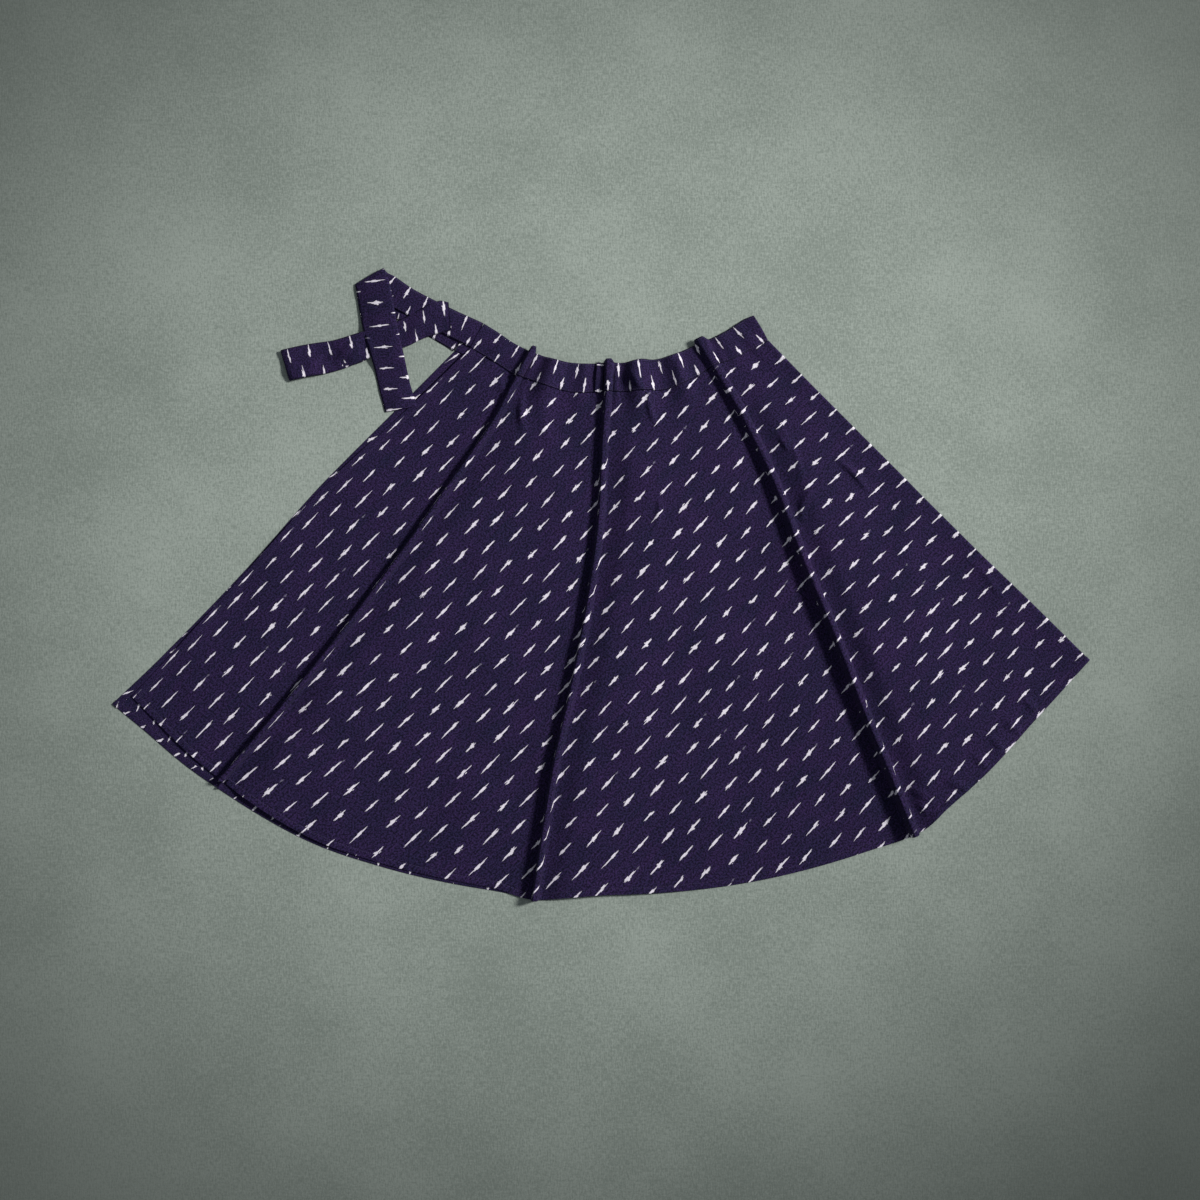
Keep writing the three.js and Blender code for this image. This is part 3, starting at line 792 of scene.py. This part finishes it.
class Nodes:
    """Short ways to add and join a material's nodes."""

    def __init__(self, name):
        self.material = bpy.data.materials.new(name)
        self.material.use_nodes = True
        self.tree = self.material.node_tree
        self.tree.nodes.clear()

    def add(self, kind, **settings):
        node = self.tree.nodes.new(kind)
        for key, value in settings.items():
            setattr(node, key, value)
        return node

    def put(self, value, socket):
        if isinstance(value, bpy.types.NodeSocket):
            self.tree.links.new(value, socket)
        else:
            socket.default_value = value

    def math(self, operation, *values, clamp=False):
        node = self.add("ShaderNodeMath", operation=operation, use_clamp=clamp)
        for value, socket in zip(values, node.inputs):
            self.put(value, socket)
        return node.outputs[0]

    def plus(self, first, second, clamp=False):
        return self.math("ADD", first, second, clamp=clamp)

    def minus(self, first, second):
        return self.math("SUBTRACT", first, second)

    def times(self, first, second):
        return self.math("MULTIPLY", first, second)

    def line(self, value, slope, start):
        return self.math("MULTIPLY_ADD", value, slope, start)

    def spread(self, chance, width):
        """A number from 0 to 1 as an offset either way, width from end to end."""
        return self.line(chance, width, -width / 2)

    def split(self, vector):
        node = self.add("ShaderNodeSeparateXYZ")
        self.put(vector, node.inputs[0])
        return node.outputs[0], node.outputs[1]

    def join(self, x, y, z):
        node = self.add("ShaderNodeCombineXYZ")
        for value, socket in zip((x, y, z), node.inputs):
            self.put(value, socket)
        return node.outputs[0]

    def noise(self, vector, scale, detail, roughness=0.5):
        node = self.add("ShaderNodeTexNoise")
        self.put(vector, node.inputs["Vector"])
        node.inputs["Scale"].default_value = scale
        node.inputs["Detail"].default_value = detail
        node.inputs["Roughness"].default_value = roughness
        return node.outputs["Fac"]

    def summed(self, u, v, table):
        """The sum of a table's noises, each times its share."""
        total = 0.0
        for row in table:
            along, across = self.times(u, row["along"]), self.times(v, row["across"])
            place = self.join(along, across, row["level"])
            noise = self.noise(place, 1.0, row["detail"], row["roughness"])
            total = self.line(noise, row["share"], total)
        return total

    def chance(self, x, y, z):
        """Three seeded numbers from 0 to 1 for each whole-number place."""
        node = self.add("ShaderNodeTexWhiteNoise", noise_dimensions="3D")
        self.put(self.join(x, y, z), node.inputs["Vector"])
        split = self.add("ShaderNodeSeparateColor")
        self.put(node.outputs["Color"], split.inputs[0])
        return split.outputs

    def step(self, value, low, high):
        node = self.add("ShaderNodeMapRange", interpolation_type="SMOOTHSTEP")
        for v, key in ((value, "Value"), (low, "From Min"), (high, "From Max")):
            self.put(v, node.inputs[key])
        return node.outputs[0]

    def scaled(self, colour, factor):
        node = self.add("ShaderNodeVectorMath", operation="SCALE")
        self.put(colour, node.inputs["Vector"])
        self.put(factor, node.inputs["Scale"])
        return node.outputs[0]

    def mix(self, share, first, second):
        node = self.add("ShaderNodeMix", data_type="RGBA")
        self.put(share, node.inputs[0])
        for value, socket in ((first, node.inputs[6]), (second, node.inputs[7])):
            if isinstance(value, tuple):
                value = (*value, 1.0)
            self.put(value, socket)
        return node.outputs[2]

    def bump(self, height, strength, distance):
        node = self.add("ShaderNodeBump")
        node.inputs["Strength"].default_value = strength
        node.inputs["Distance"].default_value = distance
        self.put(height, node.inputs["Height"])
        return node.outputs[0]

    def surface(self, inputs):
        """The finished material, from what goes into its shader's inputs."""
        shader = self.add("ShaderNodeBsdfPrincipled")
        for key, value in inputs.items():
            self.put(value, shader.inputs[key])
        out = self.add("ShaderNodeOutputMaterial")
        self.put(shader.outputs[0], out.inputs[0])
        return self.material


# The pale dashes. DASH_LENGTH and STRAND, the width of the bundles of threads that are
# dyed together, are in metres. What follows are shares of them, each as its least value
# and what chance adds to it at most, and what it has more on the fat dashes.
DASH_LENGTH = 0.0285
STRAND = 0.00100
STRAY_ALONG, STRAY_ACROSS = 0.007, 0.0022  # metres that a dash may be off its place, in all
GIRTH, MORE_GIRTH, FAT_GIRTH = 0.78, 0.30, 0.14
REACH_OF_DASH, MORE_REACH, FAT_SHORTER = 0.84, 0.34, 0.12
CORE, MORE_CORE = 0.76, 0.52  # the two long strands in the middle
HEAD, MORE_HEAD, FAT_HEAD = 0.20, 0.26, 0.08  # the strands beside them
RIM, MORE_RIM = 0.03, 0.24  # the outermost strands, on fat dashes only
HEAD_SHIFT, SLIP = 0.36, 0.24  # how far the head, and each strand, slips along the dash
POINTED = 0.3  # how much shorter a strand is at its sides
SOFT_END = 0.0015  # metres over which a strand's end fades
STRAND_LIGHT, MORE_LIGHT = 0.88, 0.12


def dashes(n, u, v, shift, seed, length, strand, kept=1.0):
    """The pale dashes on one of the lattice's two sets of places. Each is a few strands
    whose dyed ends have slipped before they were woven: two long ones in the middle, and
    short ones beside them that make its feathered head."""
    s = n.line(u, 1 / (ALONG * MM), shift[0])
    t = n.line(v, 1 / (ACROSS * MM), shift[1])
    i, j = n.math("ROUND", s), n.math("ROUND", t)
    r1, r2, r3 = n.chance(i, j, seed)
    q1, q2, q3 = n.chance(i, j, seed + 5.0)
    along = n.line(n.minus(s, i), ALONG * MM, n.spread(r1, STRAY_ALONG))
    across = n.line(n.minus(t, j), ACROSS * MM, n.spread(r2, STRAY_ACROSS))
    # every second row has fatter and shorter dashes
    fat = n.math("PINGPONG", j, 1.0)
    girth = n.line(fat, FAT_GIRTH, n.line(r3, MORE_GIRTH, GIRTH))
    place = n.math("DIVIDE", across, n.times(girth, strand))
    k = n.math("FLOOR", place)
    t1, t2, t3 = n.chance(i, j, n.plus(k, seed * 100.0))
    off = n.math("ABSOLUTE", n.plus(k, 0.5))
    beside = n.math("GREATER_THAN", off, 1.0)
    outside = n.math("GREATER_THAN", off, 2.0)
    core = n.line(t1, MORE_CORE, CORE)
    head = n.line(t1, MORE_HEAD, n.line(fat, FAT_HEAD, HEAD))
    rim = n.times(fat, n.line(t1, MORE_RIM, RIM))
    reach = n.line(beside, n.minus(head, core), core)
    reach = n.line(outside, n.minus(rim, head), reach)
    own_reach = n.line(fat, -FAT_SHORTER, n.line(q1, MORE_REACH, REACH_OF_DASH))
    reach = n.times(n.times(reach, own_reach), length / 2)
    aside = n.times(n.spread(q2, length * HEAD_SHIFT), beside)
    slip = n.spread(t2, length * SLIP)
    away = n.math("ABSOLUTE", n.plus(along, n.plus(aside, slip)))
    edge = n.line(n.minus(place, k), 2.0, -1.0)
    reach = n.times(reach, n.line(n.times(edge, edge), -POINTED, 1.0))
    mask = n.step(n.minus(reach, away), 0.0, SOFT_END)
    mask = n.times(mask, n.math("LESS_THAN", off, 3.0))
    mask = n.times(mask, n.line(t3, MORE_LIGHT, STRAND_LIGHT))
    if kept < 1:
        mask = n.times(mask, n.math("LESS_THAN", q3, kept))
    return mask


# Noises that are summed into one value: their waves to the metre along and across the
# dashes, a level that tells them apart, their detail and roughness, and their share.
NOISE = "along across level detail roughness share"
TWO_COLOURS = rows(
    NOISE,
    (9, 700, 4, 3, 0.6, 0.35),  # threads
    (4, 45, 9, 2, 0.5, 0.15),  # bands of threads
    (16, 16, 0, 4, 0.6, 0.25),  # clouds of dye
    (330, 330, 0, 2, 0.7, 0.30),  # specks
)
SLUBS = rows(NOISE, (60, 900, 7, 2, 0.5, 0.00012))  # share in metres of height
FLOOR_THREADS = rows(
    NOISE,
    (3.5, 3.5, 0, 5, 0.65, 0.25),
    (330, 330, 0, 3, 0.7, 0.30),
    (110, 300, 0, 2, 0.5, 0.15),
    (480, 110, 0, 3, 0.6, 0.30),
)
# Single noises: waves to the metre, detail and roughness.
HEATHER = (900, 2, 0.6)
GRAIN = (360, 2, 0.7)
RUMPLE = (38, 3, 0.55)
# Between which two values of its noise a change sets in, and how strong it is.
NAVY_TO_PURPLE = (0.42, 0.62)
TO_SHADE, MOST_SHADE = (0.35, 0.70), 0.45
DARK_TO_LIGHT, DARKEST, LIGHTEST = (0.38, 0.62), 0.36, 1.66
DASH_LIGHT, DASH_DOTS = 0.92, 0.5  # how pale the dashes are, and how that is dotted
FAINT_LENGTH, FAINT_STRAND, FAINT_KEPT, FAINT_LIGHT = 0.3, 0.7, 0.2, 0.5
THREADS_ALONG, THREADS_ACROSS = 1900, 2100  # the weave's threads to the metre
WEAVE_HEIGHT, RUMPLE_HEIGHT = 0.00003, 0.0011


def cotton(name, bump=1.0, length=DASH_LENGTH, strand=STRAND):
    """Plain-weave cotton, navy and purple threads, with the pale dashes."""
    n = Nodes(name)
    uv = n.add("ShaderNodeUVMap", uv_map="cloth").outputs[0]
    u, v = n.split(uv)
    first = dashes(n, u, v, (0.0, 0.0), 1.0, length, strand)
    second = dashes(n, u, v, (0.5, 0.5), 2.0, length, strand)
    small = (length * FAINT_LENGTH, strand * FAINT_STRAND, FAINT_KEPT)
    faint = dashes(n, u, v, (0.27, 0.5), 3.0, *small)
    # threads of both colours, streaked along the dashes
    threads = n.step(n.summed(u, v, TWO_COLOURS), *NAVY_TO_PURPLE)
    heather = n.noise(uv, *HEATHER)
    colour = n.mix(threads, NAVY, PURPLE)
    colour = n.mix(n.times(n.step(heather, *TO_SHADE), MOST_SHADE), colour, SHADE)
    # the weave seen from afar: each few threads a little lighter or darker
    grain = n.step(n.noise(uv, *GRAIN), *DARK_TO_LIGHT)
    colour = n.scaled(colour, n.line(grain, LIGHTEST - DARKEST, DARKEST))
    colour = n.mix(n.times(faint, FAINT_LIGHT), colour, GREYED)
    dotted = n.plus(n.spread(heather, DASH_DOTS), DASH_LIGHT, clamp=True)
    pale = n.times(n.math("MAXIMUM", first, second), dotted)
    colour = n.mix(pale, colour, PALE)
    # the threads of the weave, its slubs, and the cloth's small unevenness
    weave_u = n.math("SINE", n.times(u, 2 * math.pi * THREADS_ALONG))
    weave_v = n.math("SINE", n.times(v, 2 * math.pi * THREADS_ACROSS))
    height = n.line(n.times(weave_u, weave_v), WEAVE_HEIGHT, n.summed(u, v, SLUBS))
    height = n.line(n.noise(uv, *RUMPLE), RUMPLE_HEIGHT * bump, height)
    return n.surface(
        {
            "Base Color": colour,
            "Normal": n.bump(height, strength=0.55, distance=1.0),
            "Roughness": n.line(heather, 0.16, 0.80),
            "Specular IOR Level": 0.10,
            "Sheen Weight": 0.03,
            "Sheen Roughness": 0.5,
            "Sheen Tint": SHEEN,
        }
    )


def thread_material():
    n = Nodes("thread")
    place = n.add("ShaderNodeTexCoord").outputs["Object"]
    colour = n.mix(n.noise(place, 700, 2), THREAD_DARK, THREAD_LIGHT)
    return n.surface({"Base Color": colour, "Roughness": 0.6})


# Painted shade on the floor: it is painted darker from this middle outwards, standing in for
# the light falling off towards the sides.
PAINTED_SHADE_MIDDLE = (-0.02, 0.05)  # metres
PAINTED_SHADE_REACH, PAINTED_SHADE_STRENGTH = (0.48, 1.38), 0.8  # metres from there, and how strongly


def floor_material():
    """A sage cloth floor with painted shade: darker towards its sides, in place of the light
    falling off there.
    """
    n = Nodes("floor_sage")
    x, y = n.split(n.add("ShaderNodeTexCoord").outputs["Object"])
    threads = n.summed(x, y, FLOOR_THREADS)
    colour = n.mix(n.step(threads, 0.40, 0.60), FLOOR_DARK, FLOOR_LIGHT)
    # painted shade: darker the further from the middle, for the light's fall-off
    across, up = n.minus(x, PAINTED_SHADE_MIDDLE[0]), n.minus(y, PAINTED_SHADE_MIDDLE[1])
    out = n.math("SQRT", n.plus(n.times(across, across), n.times(up, up)))
    dark = n.times(n.step(out, *PAINTED_SHADE_REACH), PAINTED_SHADE_STRENGTH)
    return n.surface(
        {
            "Base Color": n.mix(dark, colour, FLOOR_PAINTED_SHADE),
            "Normal": n.bump(threads, strength=0.6, distance=0.0012),
            "Roughness": 0.9,
            "Specular IOR Level": 0.2,
        }
    )


# ---- the pieces ----

# On the band and the ties the cloth is more uneven and the dashes are cut shorter.
COTTON = cotton("ikat_cotton")
BAND_COTTON = cotton("ikat_cotton_band", bump=2.2, length=0.034, strand=0.00095)
TIE_COTTON = cotton("ikat_cotton_tie", bump=2.6, length=0.031, strand=0.00105)
SEWING_THREAD = thread_material()

PANEL_STEPS = (34, 100, 124, 96)
PANEL_FOLD_STEPS = 37
BACK_STEPS = (12, 34, 40, 24)
BACK_FOLD_STEPS = 11
LOWEST = 0.12  # no cloth lies lower than this above the floor
BODY_LINES = 122  # about 6 mm apart, down to BODY_END from the hem's edge
BODY_END = 14
HEM_LINES = 9  # about 1.5 mm apart, from HEM_START to the hem's edge
HEM_START = 12.5
HEM_DEPTH = 10  # the turned hem's width
HEM_LIFT, HEM_EASE = 0.45, 2.5  # how far it stands out, and over what width that sets in
GROOVE_DEPTH, GROOVE_WIDTH = 0.5, 1.6  # where its stitching pulls it in
GROOVE_INSET = 0.5
STITCH_INSET = 0.7
CALM_HEM = 40  # the swells are lower over this width above the hem,
CALM_SHARE = 0.35  # down to this share of their height
DEEPEST = -0.9  # no trough of the front layer is deeper, so that it stays off the back one
BACK_LIFT, BACK_SWELL = 0.25, 0.25  # mm, and a share of the front layer's swells


def panel_falls():
    """The places of the lines across the panel, from waist to hem."""
    body = np.linspace(0, 1 - BODY_END / PANEL_LENGTH, BODY_LINES)
    hem = np.linspace(1 - HEM_START / PANEL_LENGTH, 1, HEM_LINES)
    return np.concatenate([body, hem])


def turned_hem(from_edge):
    """A turned hem stands out a little, and its stitching pulls a groove."""
    lift = HEM_LIFT * smooth((HEM_DEPTH - from_edge) / HEM_EASE)
    from_groove = from_edge - HEM_DEPTH + GROOVE_INSET
    return lift - GROOVE_DEPTH * np.exp(-((from_groove / GROOVE_WIDTH) ** 2))


def hem_relief(grid, falls):
    """The hem along the foot of the panel and down both of its open edges."""
    foot = turned_hem((1 - falls) * PANEL_LENGTH)[None]
    run = run_of(grid)
    side = turned_hem(np.minimum(run, run[-1] - run))
    return np.where(np.abs(foot) > np.abs(side), foot, side)


def make_panel():
    """The panel's cloth, and its outer face without the rolled rim."""
    falls = panel_falls()
    lines = down_lines(PANEL_STEPS, PANEL_FOLD_STEPS), down_lines(BACK_STEPS, BACK_FOLD_STEPS)

    def front_relief(x, y):
        above_hem = smooth((1 - falls) * PANEL_LENGTH / CALM_HEM)
        swell = swell_relief(x, y) * (CALM_SHARE + (1 - CALM_SHARE) * above_hem)
        return np.maximum(swell + crease_relief(CREASES, x, y), DEEPEST)

    def back_relief(x, y):
        creases = np.maximum(crease_relief(BACK_CREASES, x, y), 0)
        return creases + BACK_LIFT + swell_relief(x, y) * BACK_SWELL

    form = (skirt_radius, CLOTH, SIDES, FOLD_SWELL, lambda f: 0 * f)
    reliefs = front_relief, back_relief
    grid, front, _, unfolded = both_layers(lines, falls, form, reliefs)
    chart, shift = front_chart(lines[0], front)
    # the back layer's chart is the last stretch's, run on round the side fold
    back = grid[-len(unfolded) :]
    radius = np.hypot(back[..., 0] - APEX[0] + MIDDLE[0], back[..., 1] - APEX[1] + MIDDLE[1])
    back_chart = charted(CHART[-1], *plan(unfolded, radius)) + shift
    t = np.linspace(0, 1, len(TURN_ANGLES) + 2)[1:-1, None, None]
    turn_chart = chart[-1] * (1 - t) + back_chart[0] * t
    chart = np.concatenate([chart, turn_chart, back_chart])
    out = normals(grid)
    grid = grid + out * (OUTER + hem_relief(grid, falls))[..., None]
    grid[..., 2] = np.maximum(grid[..., 2], LOWEST)
    outer = grid
    grid, chart = with_rolled_rim(grid, out, chart)
    grid[..., 2] = np.maximum(grid[..., 2], LOWEST)
    faces = grid_faces(*grid.shape[:2])
    points, places = grid.reshape(-1, 3), chart.reshape(-1, 2)
    return make_mesh("skirt_cloth", points, faces, places, COTTON), outer


BAND_STEPS = (20, 74, 92, 50)
BAND_FOLD_STEPS = 31
BAND_PLACES = 23
BAND_DEPTH = 44
BAND_SWELL_SCALE, BAND_SWELL_SHARE = 2.6, 0.35  # its swells are shorter and lower
DASH_TURN = 6.7  # degrees round the apex from one dash of the band to the next
FIRST_DASH = -18.6
BAND_DASH = 10.5  # the upper dashes' distance from the band's upper edge
BAND_STRETCH = 1.6  # the band's dashes are that much closer along their length


def band_relief(x, y):
    swell = swell_relief(x * BAND_SWELL_SCALE, y * BAND_SWELL_SCALE)
    return swell * BAND_SWELL_SHARE + crease_relief(BAND_CREASES, x, y)


def make_band():
    """The waistband's cloth and the middle of its wall."""
    falls = np.linspace(-1, 0, BAND_PLACES)
    lines = down_lines(BAND_STEPS, BAND_FOLD_STEPS)

    def puff(f):
        return BAND_PUFF * np.sin(np.pi * f) ** 2

    form = (band_radius, BAND, BAND_ENDS, BAND_SWELL, puff)
    reliefs = band_relief, lambda x, y: 0 * x
    grid, _, azimuths, unfolded = both_layers((lines, lines), falls, form, reliefs)
    fold = read(BAND_ENDS, "fall", falls, "sideFold")[None]
    run = np.concatenate([azimuths, np.repeat(fold, len(TURN_ANGLES), 0), unfolded])
    # the band's dashes lie across it, DASH_TURN apart
    u = ((falls[None] + 1) * BAND_DEPTH - BAND_DASH) * BAND_STRETCH + 0 * run
    v = (run - FIRST_DASH) / DASH_TURN * ACROSS
    chart = np.stack([u, v], -1)
    return shell("waistband_cloth", grid, BAND, chart, BAND_COTTON, BAND_DEPTH), grid


TIE_STEP, TIE_PLACES = 2.2, 17  # mm between a ribbon's lines, and points across it


def ribbon_grid(sections):
    """A smooth ribbon through its sections."""
    sides = [("leftX", "leftY", "height"), ("rightX", "rightY", "height")]
    ends = [[[section[k] for k in side] for section in sections] for side in sides]
    middle = np.mean(ends, axis=0)
    run = run_of(middle)
    table = [dict(section, run=r) for section, r in zip(sections, run)]
    at = np.linspace(0, run[-1], int(run[-1] / TIE_STEP))
    left, right = (np.stack([read(table, "run", at, k) for k in side], -1) for side in sides)
    share = np.linspace(0, 1, TIE_PLACES)[None, :, None]
    grid = left[:, None] * (1 - share) + right[:, None] * share
    grid[..., :2] -= MIDDLE
    return grid, at


TIE_PITCH = 32.0  # from one dash to the next along a tie
TIE_STRETCH = 1.41  # the ties' dashes are that much closer along their length
TIE_WIDTH = 43.0
TIE_CROWN = 0.5  # how far a tie's middle stands above its edges
TIE_WAVES = (2.4, 110)  # its crumples' scale along it, and over its width
FRONT_CRUMPLE, BACK_CRUMPLE = 0.8, 1.5  # how strong they are on each tie
TIE_CRUMPLE = 1.5  # the most that they rise above the crown
TIE_CLEAR = 0.1  # what stays between a tie and the floor
UPPER_FROM, UPPER_EASE = 2, 2  # above this height, a run of the tie lies on another


def make_tie(name, sections, prints, droops, crumple, creases):
    """A tie's cloth and the middle of its wall."""
    grid, run = ribbon_grid(sections)
    share = np.linspace(0, 1, grid.shape[1])[None]
    run_at = run[:, None]
    wave = swell_relief(run_at * TIE_WAVES[0] + 0 * share, share * TIE_WAVES[1] + 0 * run_at)
    crown = np.sin(np.pi * share) * TIE_CROWN
    if droops:
        grid[..., 2] -= read(droops, "run", run, "droop")[:, None] * (1 - share) ** 2
    room = np.maximum(grid[..., 2] - TIE / 2 - TIE_CLEAR, 0)
    upper_run = smooth((grid[..., 2] - UPPER_FROM) / UPPER_EASE)
    crumples = np.minimum(crown + wave * crumple, crown + TIE_CRUMPLE)
    grid[..., 2] += crumples.clip(-room, None)
    grid[..., 2] += crease_relief(creases, grid[..., 0], grid[..., 1]) * upper_run
    columns = [read(prints, "run", run, k)[:, None] for k in ("centre", "start", "slant")]
    centre, start, slant = columns
    across = share * TIE_WIDTH - centre
    v = (run_at - start - slant * across) / TIE_PITCH * ACROSS
    chart = np.stack([across * TIE_STRETCH, v], -1)
    return shell(name, grid, TIE, chart, TIE_COTTON, TIE_WIDTH), grid


LOOP_PLACES, LOOP_LINES = 13, 40
LOOP_LIFT = 0.9  # above the band's own outer face
LOOP_BULGE = 1.4  # how far its middle stands off


def make_loop():
    place = np.linspace(-0.5, 0.5, LOOP_PLACES)[None]
    fall = np.linspace(0, -1, LOOP_LINES)[:, None]
    centre = band_radius(LOOP_AZIMUTH, -0.5, FRONT)
    reach = centre + (fall + 0.5) * LOOP_LENGTH
    azimuth = LOOP_AZIMUTH + np.degrees(place * LOOP_WIDTH / reach)
    x, y = plan(azimuth, reach)
    bulge = LOOP_BULGE * np.sin(np.pi * -fall) + BAND_PUFF * np.sin(np.pi * fall) ** 2
    z = 2 * BAND + LAY + LOOP_LIFT + LOOP / 2 + bulge + 0 * x
    # a dash lies across each end of the loop
    u = place * LOOP_WIDTH * LOOP_STRETCH + 0 * x
    between_dashes = LOOP_LENGTH - 2 * LOOP_DASH
    v = ((fall + 1) * LOOP_LENGTH - LOOP_DASH) / between_dashes * ACROSS + 0 * x
    grid, chart = np.stack([x, y, z], -1), np.stack([u, v], -1)
    return shell("belt_loop_cloth", grid, LOOP, chart, BAND_COTTON, LOOP_WIDTH)


panel, panel_outer = make_panel()
band, band_middle = make_band()
front_form = (FRONT_TIE, FRONT_PRINT, FRONT_DROOP, FRONT_CRUMPLE, [])
front_tie, front_ribbon = make_tie("front_tie_cloth", *front_form)
back_form = (BACK_TIE, BACK_PRINT, None, BACK_CRUMPLE, TIE_CREASES)
back_tie, back_ribbon = make_tie("back_tie_cloth", *back_form)
loop = make_loop()

# ---- the stitching ----

STITCH_PITCH = 3.4
STITCH_LENGTH = 2.4
STITCH_RADIUS = 0.3
STITCH_ENDS = ((-0.5, 0.15), (-0.32, 1.0), (0.32, 1.0), (0.5, 0.15))  # place and girth
STITCH_SIDES = 4
STITCH_SLACK = 0.25  # how far a stitch may be off its place
STITCH_FLAT = 0.8  # its height as a share of its width
PROUD = 0.02  # how far a strip's stitches stand out of its face
BAND_INSET, TIE_INSET = 2.4, 2.6  # from a strip's edges to its stitches


def inset(grid, axis, from_end, distance):
    """The track that runs at a distance from one edge of a grid, on its outer face."""
    sheet = np.moveaxis(grid, axis, 0)
    sheet = sheet[::-1] if from_end else sheet
    run = run_of(sheet)
    track = [
        [np.interp(distance, run[:, k], sheet[:, k, c]) for c in range(3)]
        for k in range(sheet.shape[1])
    ]
    return np.array(track)


def along_track(track, at, values=None):
    """The place at each distance along a track, or the values that go with it."""
    values = track if values is None else values
    run = run_of(track)
    return np.stack([np.interp(at, run, values[:, c]) for c in range(3)], -1), run[-1]


def stitch_faces():
    """The faces of one stitch, between its rings of points."""
    quads = []
    for ring in range(len(STITCH_ENDS) - 1):
        for side in range(STITCH_SIDES):
            a = ring * STITCH_SIDES + side
            b = ring * STITCH_SIDES + (side + 1) % STITCH_SIDES
            quads.append([a, a + STITCH_SIDES, b + STITCH_SIDES, b])
    last = (len(STITCH_ENDS) - 1) * STITCH_SIDES
    return np.array(quads + [[0, 1, 2, 3], [last + 3, last + 2, last + 1, last]])


def stitches_along(track, up):
    """The points of each stitch along a track, with the direction that is outwards."""
    length = along_track(track, np.zeros(1))[1]
    middles = np.arange(STITCH_PITCH, length - STITCH_PITCH, STITCH_PITCH)
    middles = middles + rng.uniform(-STITCH_SLACK, STITCH_SLACK, len(middles))
    here = along_track(track, middles)[0]
    here[:, 2] = np.maximum(here[:, 2], STITCH_RADIUS)
    ahead = unit(along_track(track, middles + 0.5)[0] - along_track(track, middles - 0.5)[0])
    ups = unit(along_track(track, middles, up)[0])
    across = unit(np.cross(ahead, ups))
    rings = []
    for place, girth in STITCH_ENDS:
        centre = here + ahead * place * STITCH_LENGTH
        for angle in np.arange(STITCH_SIDES) * 2 * np.pi / STITCH_SIDES:
            round_it = across * math.cos(angle) + ups * math.sin(angle) * STITCH_FLAT
            rings.append(centre + round_it * girth * STITCH_RADIUS)
    return np.stack(rings, 1)


def stitched(name, tracks):
    """One mesh of all the stitches that run along some tracks of (points, outward)."""
    stitches = np.concatenate([stitches_along(track, up) for track, up in tracks])
    first = np.arange(len(stitches))[:, None, None] * stitches.shape[1]
    faces = (first + stitch_faces()).reshape(-1, 4)
    return make_mesh(name, stitches.reshape(-1, 3), faces, None, SEWING_THREAD)


def panel_stitches(outer):
    """Stitches along the hem and down both of the panel's open edges."""
    distance = HEM_DEPTH - STITCH_INSET
    hem = inset(outer, 1, True, distance), normals(outer)[:, -2]
    front = inset(outer, 0, False, distance)
    back = inset(outer, 0, True, distance)
    up = np.tile([0.0, 0.0, 1.0], (len(front), 1))
    return stitched("panel_stitching", [hem, (front, up), (back, -up)])


def strip_stitches(name, grid, thickness, distance):
    """Stitches along both long edges of a doubled strip."""
    out = normals(grid)
    outer = grid + out * (thickness / 2 + PROUD)
    tracks = [(inset(outer, 1, end, distance), out[:, 4]) for end in (False, True)]
    return stitched(name, tracks)


panel_sewing = panel_stitches(panel_outer)
band_sewing = strip_stitches("waistband_stitching", band_middle, BAND, BAND_INSET)
front_sewing = strip_stitches("front_tie_stitching", front_ribbon, TIE, TIE_INSET)
back_sewing = strip_stitches("back_tie_stitching", back_ribbon, TIE, TIE_INSET)

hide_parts("skirt_panel")
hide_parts("waistband")
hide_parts("tie_front")
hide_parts("tie_back")
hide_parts("belt_loop")
sewing = (panel_sewing, band_sewing, front_sewing, back_sewing)
for piece in (*sewing, panel, band, front_tie, back_tie, loop):
    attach(piece, "root")

# ---- floor, lights and camera ----

FLOOR_SIZE = 9.0
VIEW_WIDTH = 1.8
CAMERA_HEIGHT = 3.2
CAMERA_PLACE = (-0.0014, -0.0242, CAMERA_HEIGHT)
SENSOR = 36.0
KEY_PLACE = (7.1, 2.45, 5.45)
KEY_AIM = (-0.2, 0.18, 0.0)
KEY_RADIUS = 0.85
KEY_CONE = 24  # degrees
KEY_POWER = 4440
KEY_COLOUR = (1.0, 0.985, 0.96)
ROOM_COLOUR = (0.86, 0.92, 1.0, 1.0)
ROOM_LIGHT = 0.2


def make_floor():
    corners = np.array([(-1, -1, 0), (1, -1, 0), (1, 1, 0), (-1, 1, 0)]) * FLOOR_SIZE / 2
    faces = np.array([[0, 1, 2, 3]])
    make_mesh("floor", corners / MM, faces, None, floor_material())


def make_key_light():
    """A round soft lamp whose light fades out towards the edge of its cone."""
    light = bpy.data.lights.new("key", "SPOT")
    light.shadow_soft_size = KEY_RADIUS
    light.spot_size = math.radians(KEY_CONE)
    light.spot_blend = 1.0
    light.energy = KEY_POWER
    light.color = KEY_COLOUR
    lamp = add_to_scene("key", light)
    lamp.location = KEY_PLACE
    dx, dy, dz = np.subtract(KEY_AIM, KEY_PLACE)
    pitch = math.atan2(math.hypot(dx, dy), -dz)
    lamp.rotation_euler = (pitch, 0.0, math.atan2(dy, dx) - math.pi / 2)


def make_room_light():
    world = bpy.data.worlds.new("room")
    world.use_nodes = True
    background = world.node_tree.nodes["Background"]
    background.inputs[0].default_value = ROOM_COLOUR
    background.inputs[1].default_value = ROOM_LIGHT
    bpy.context.scene.world = world


def make_camera():
    data = bpy.data.cameras.new("camera")
    data.sensor_width = SENSOR
    data.lens = SENSOR * CAMERA_HEIGHT / VIEW_WIDTH
    camera = add_to_scene("camera", data)
    camera.location = CAMERA_PLACE
    bpy.context.scene.camera = camera


make_floor()
make_key_light()
make_room_light()
bpy.context.scene.view_settings.view_transform = "Standard"
make_camera()
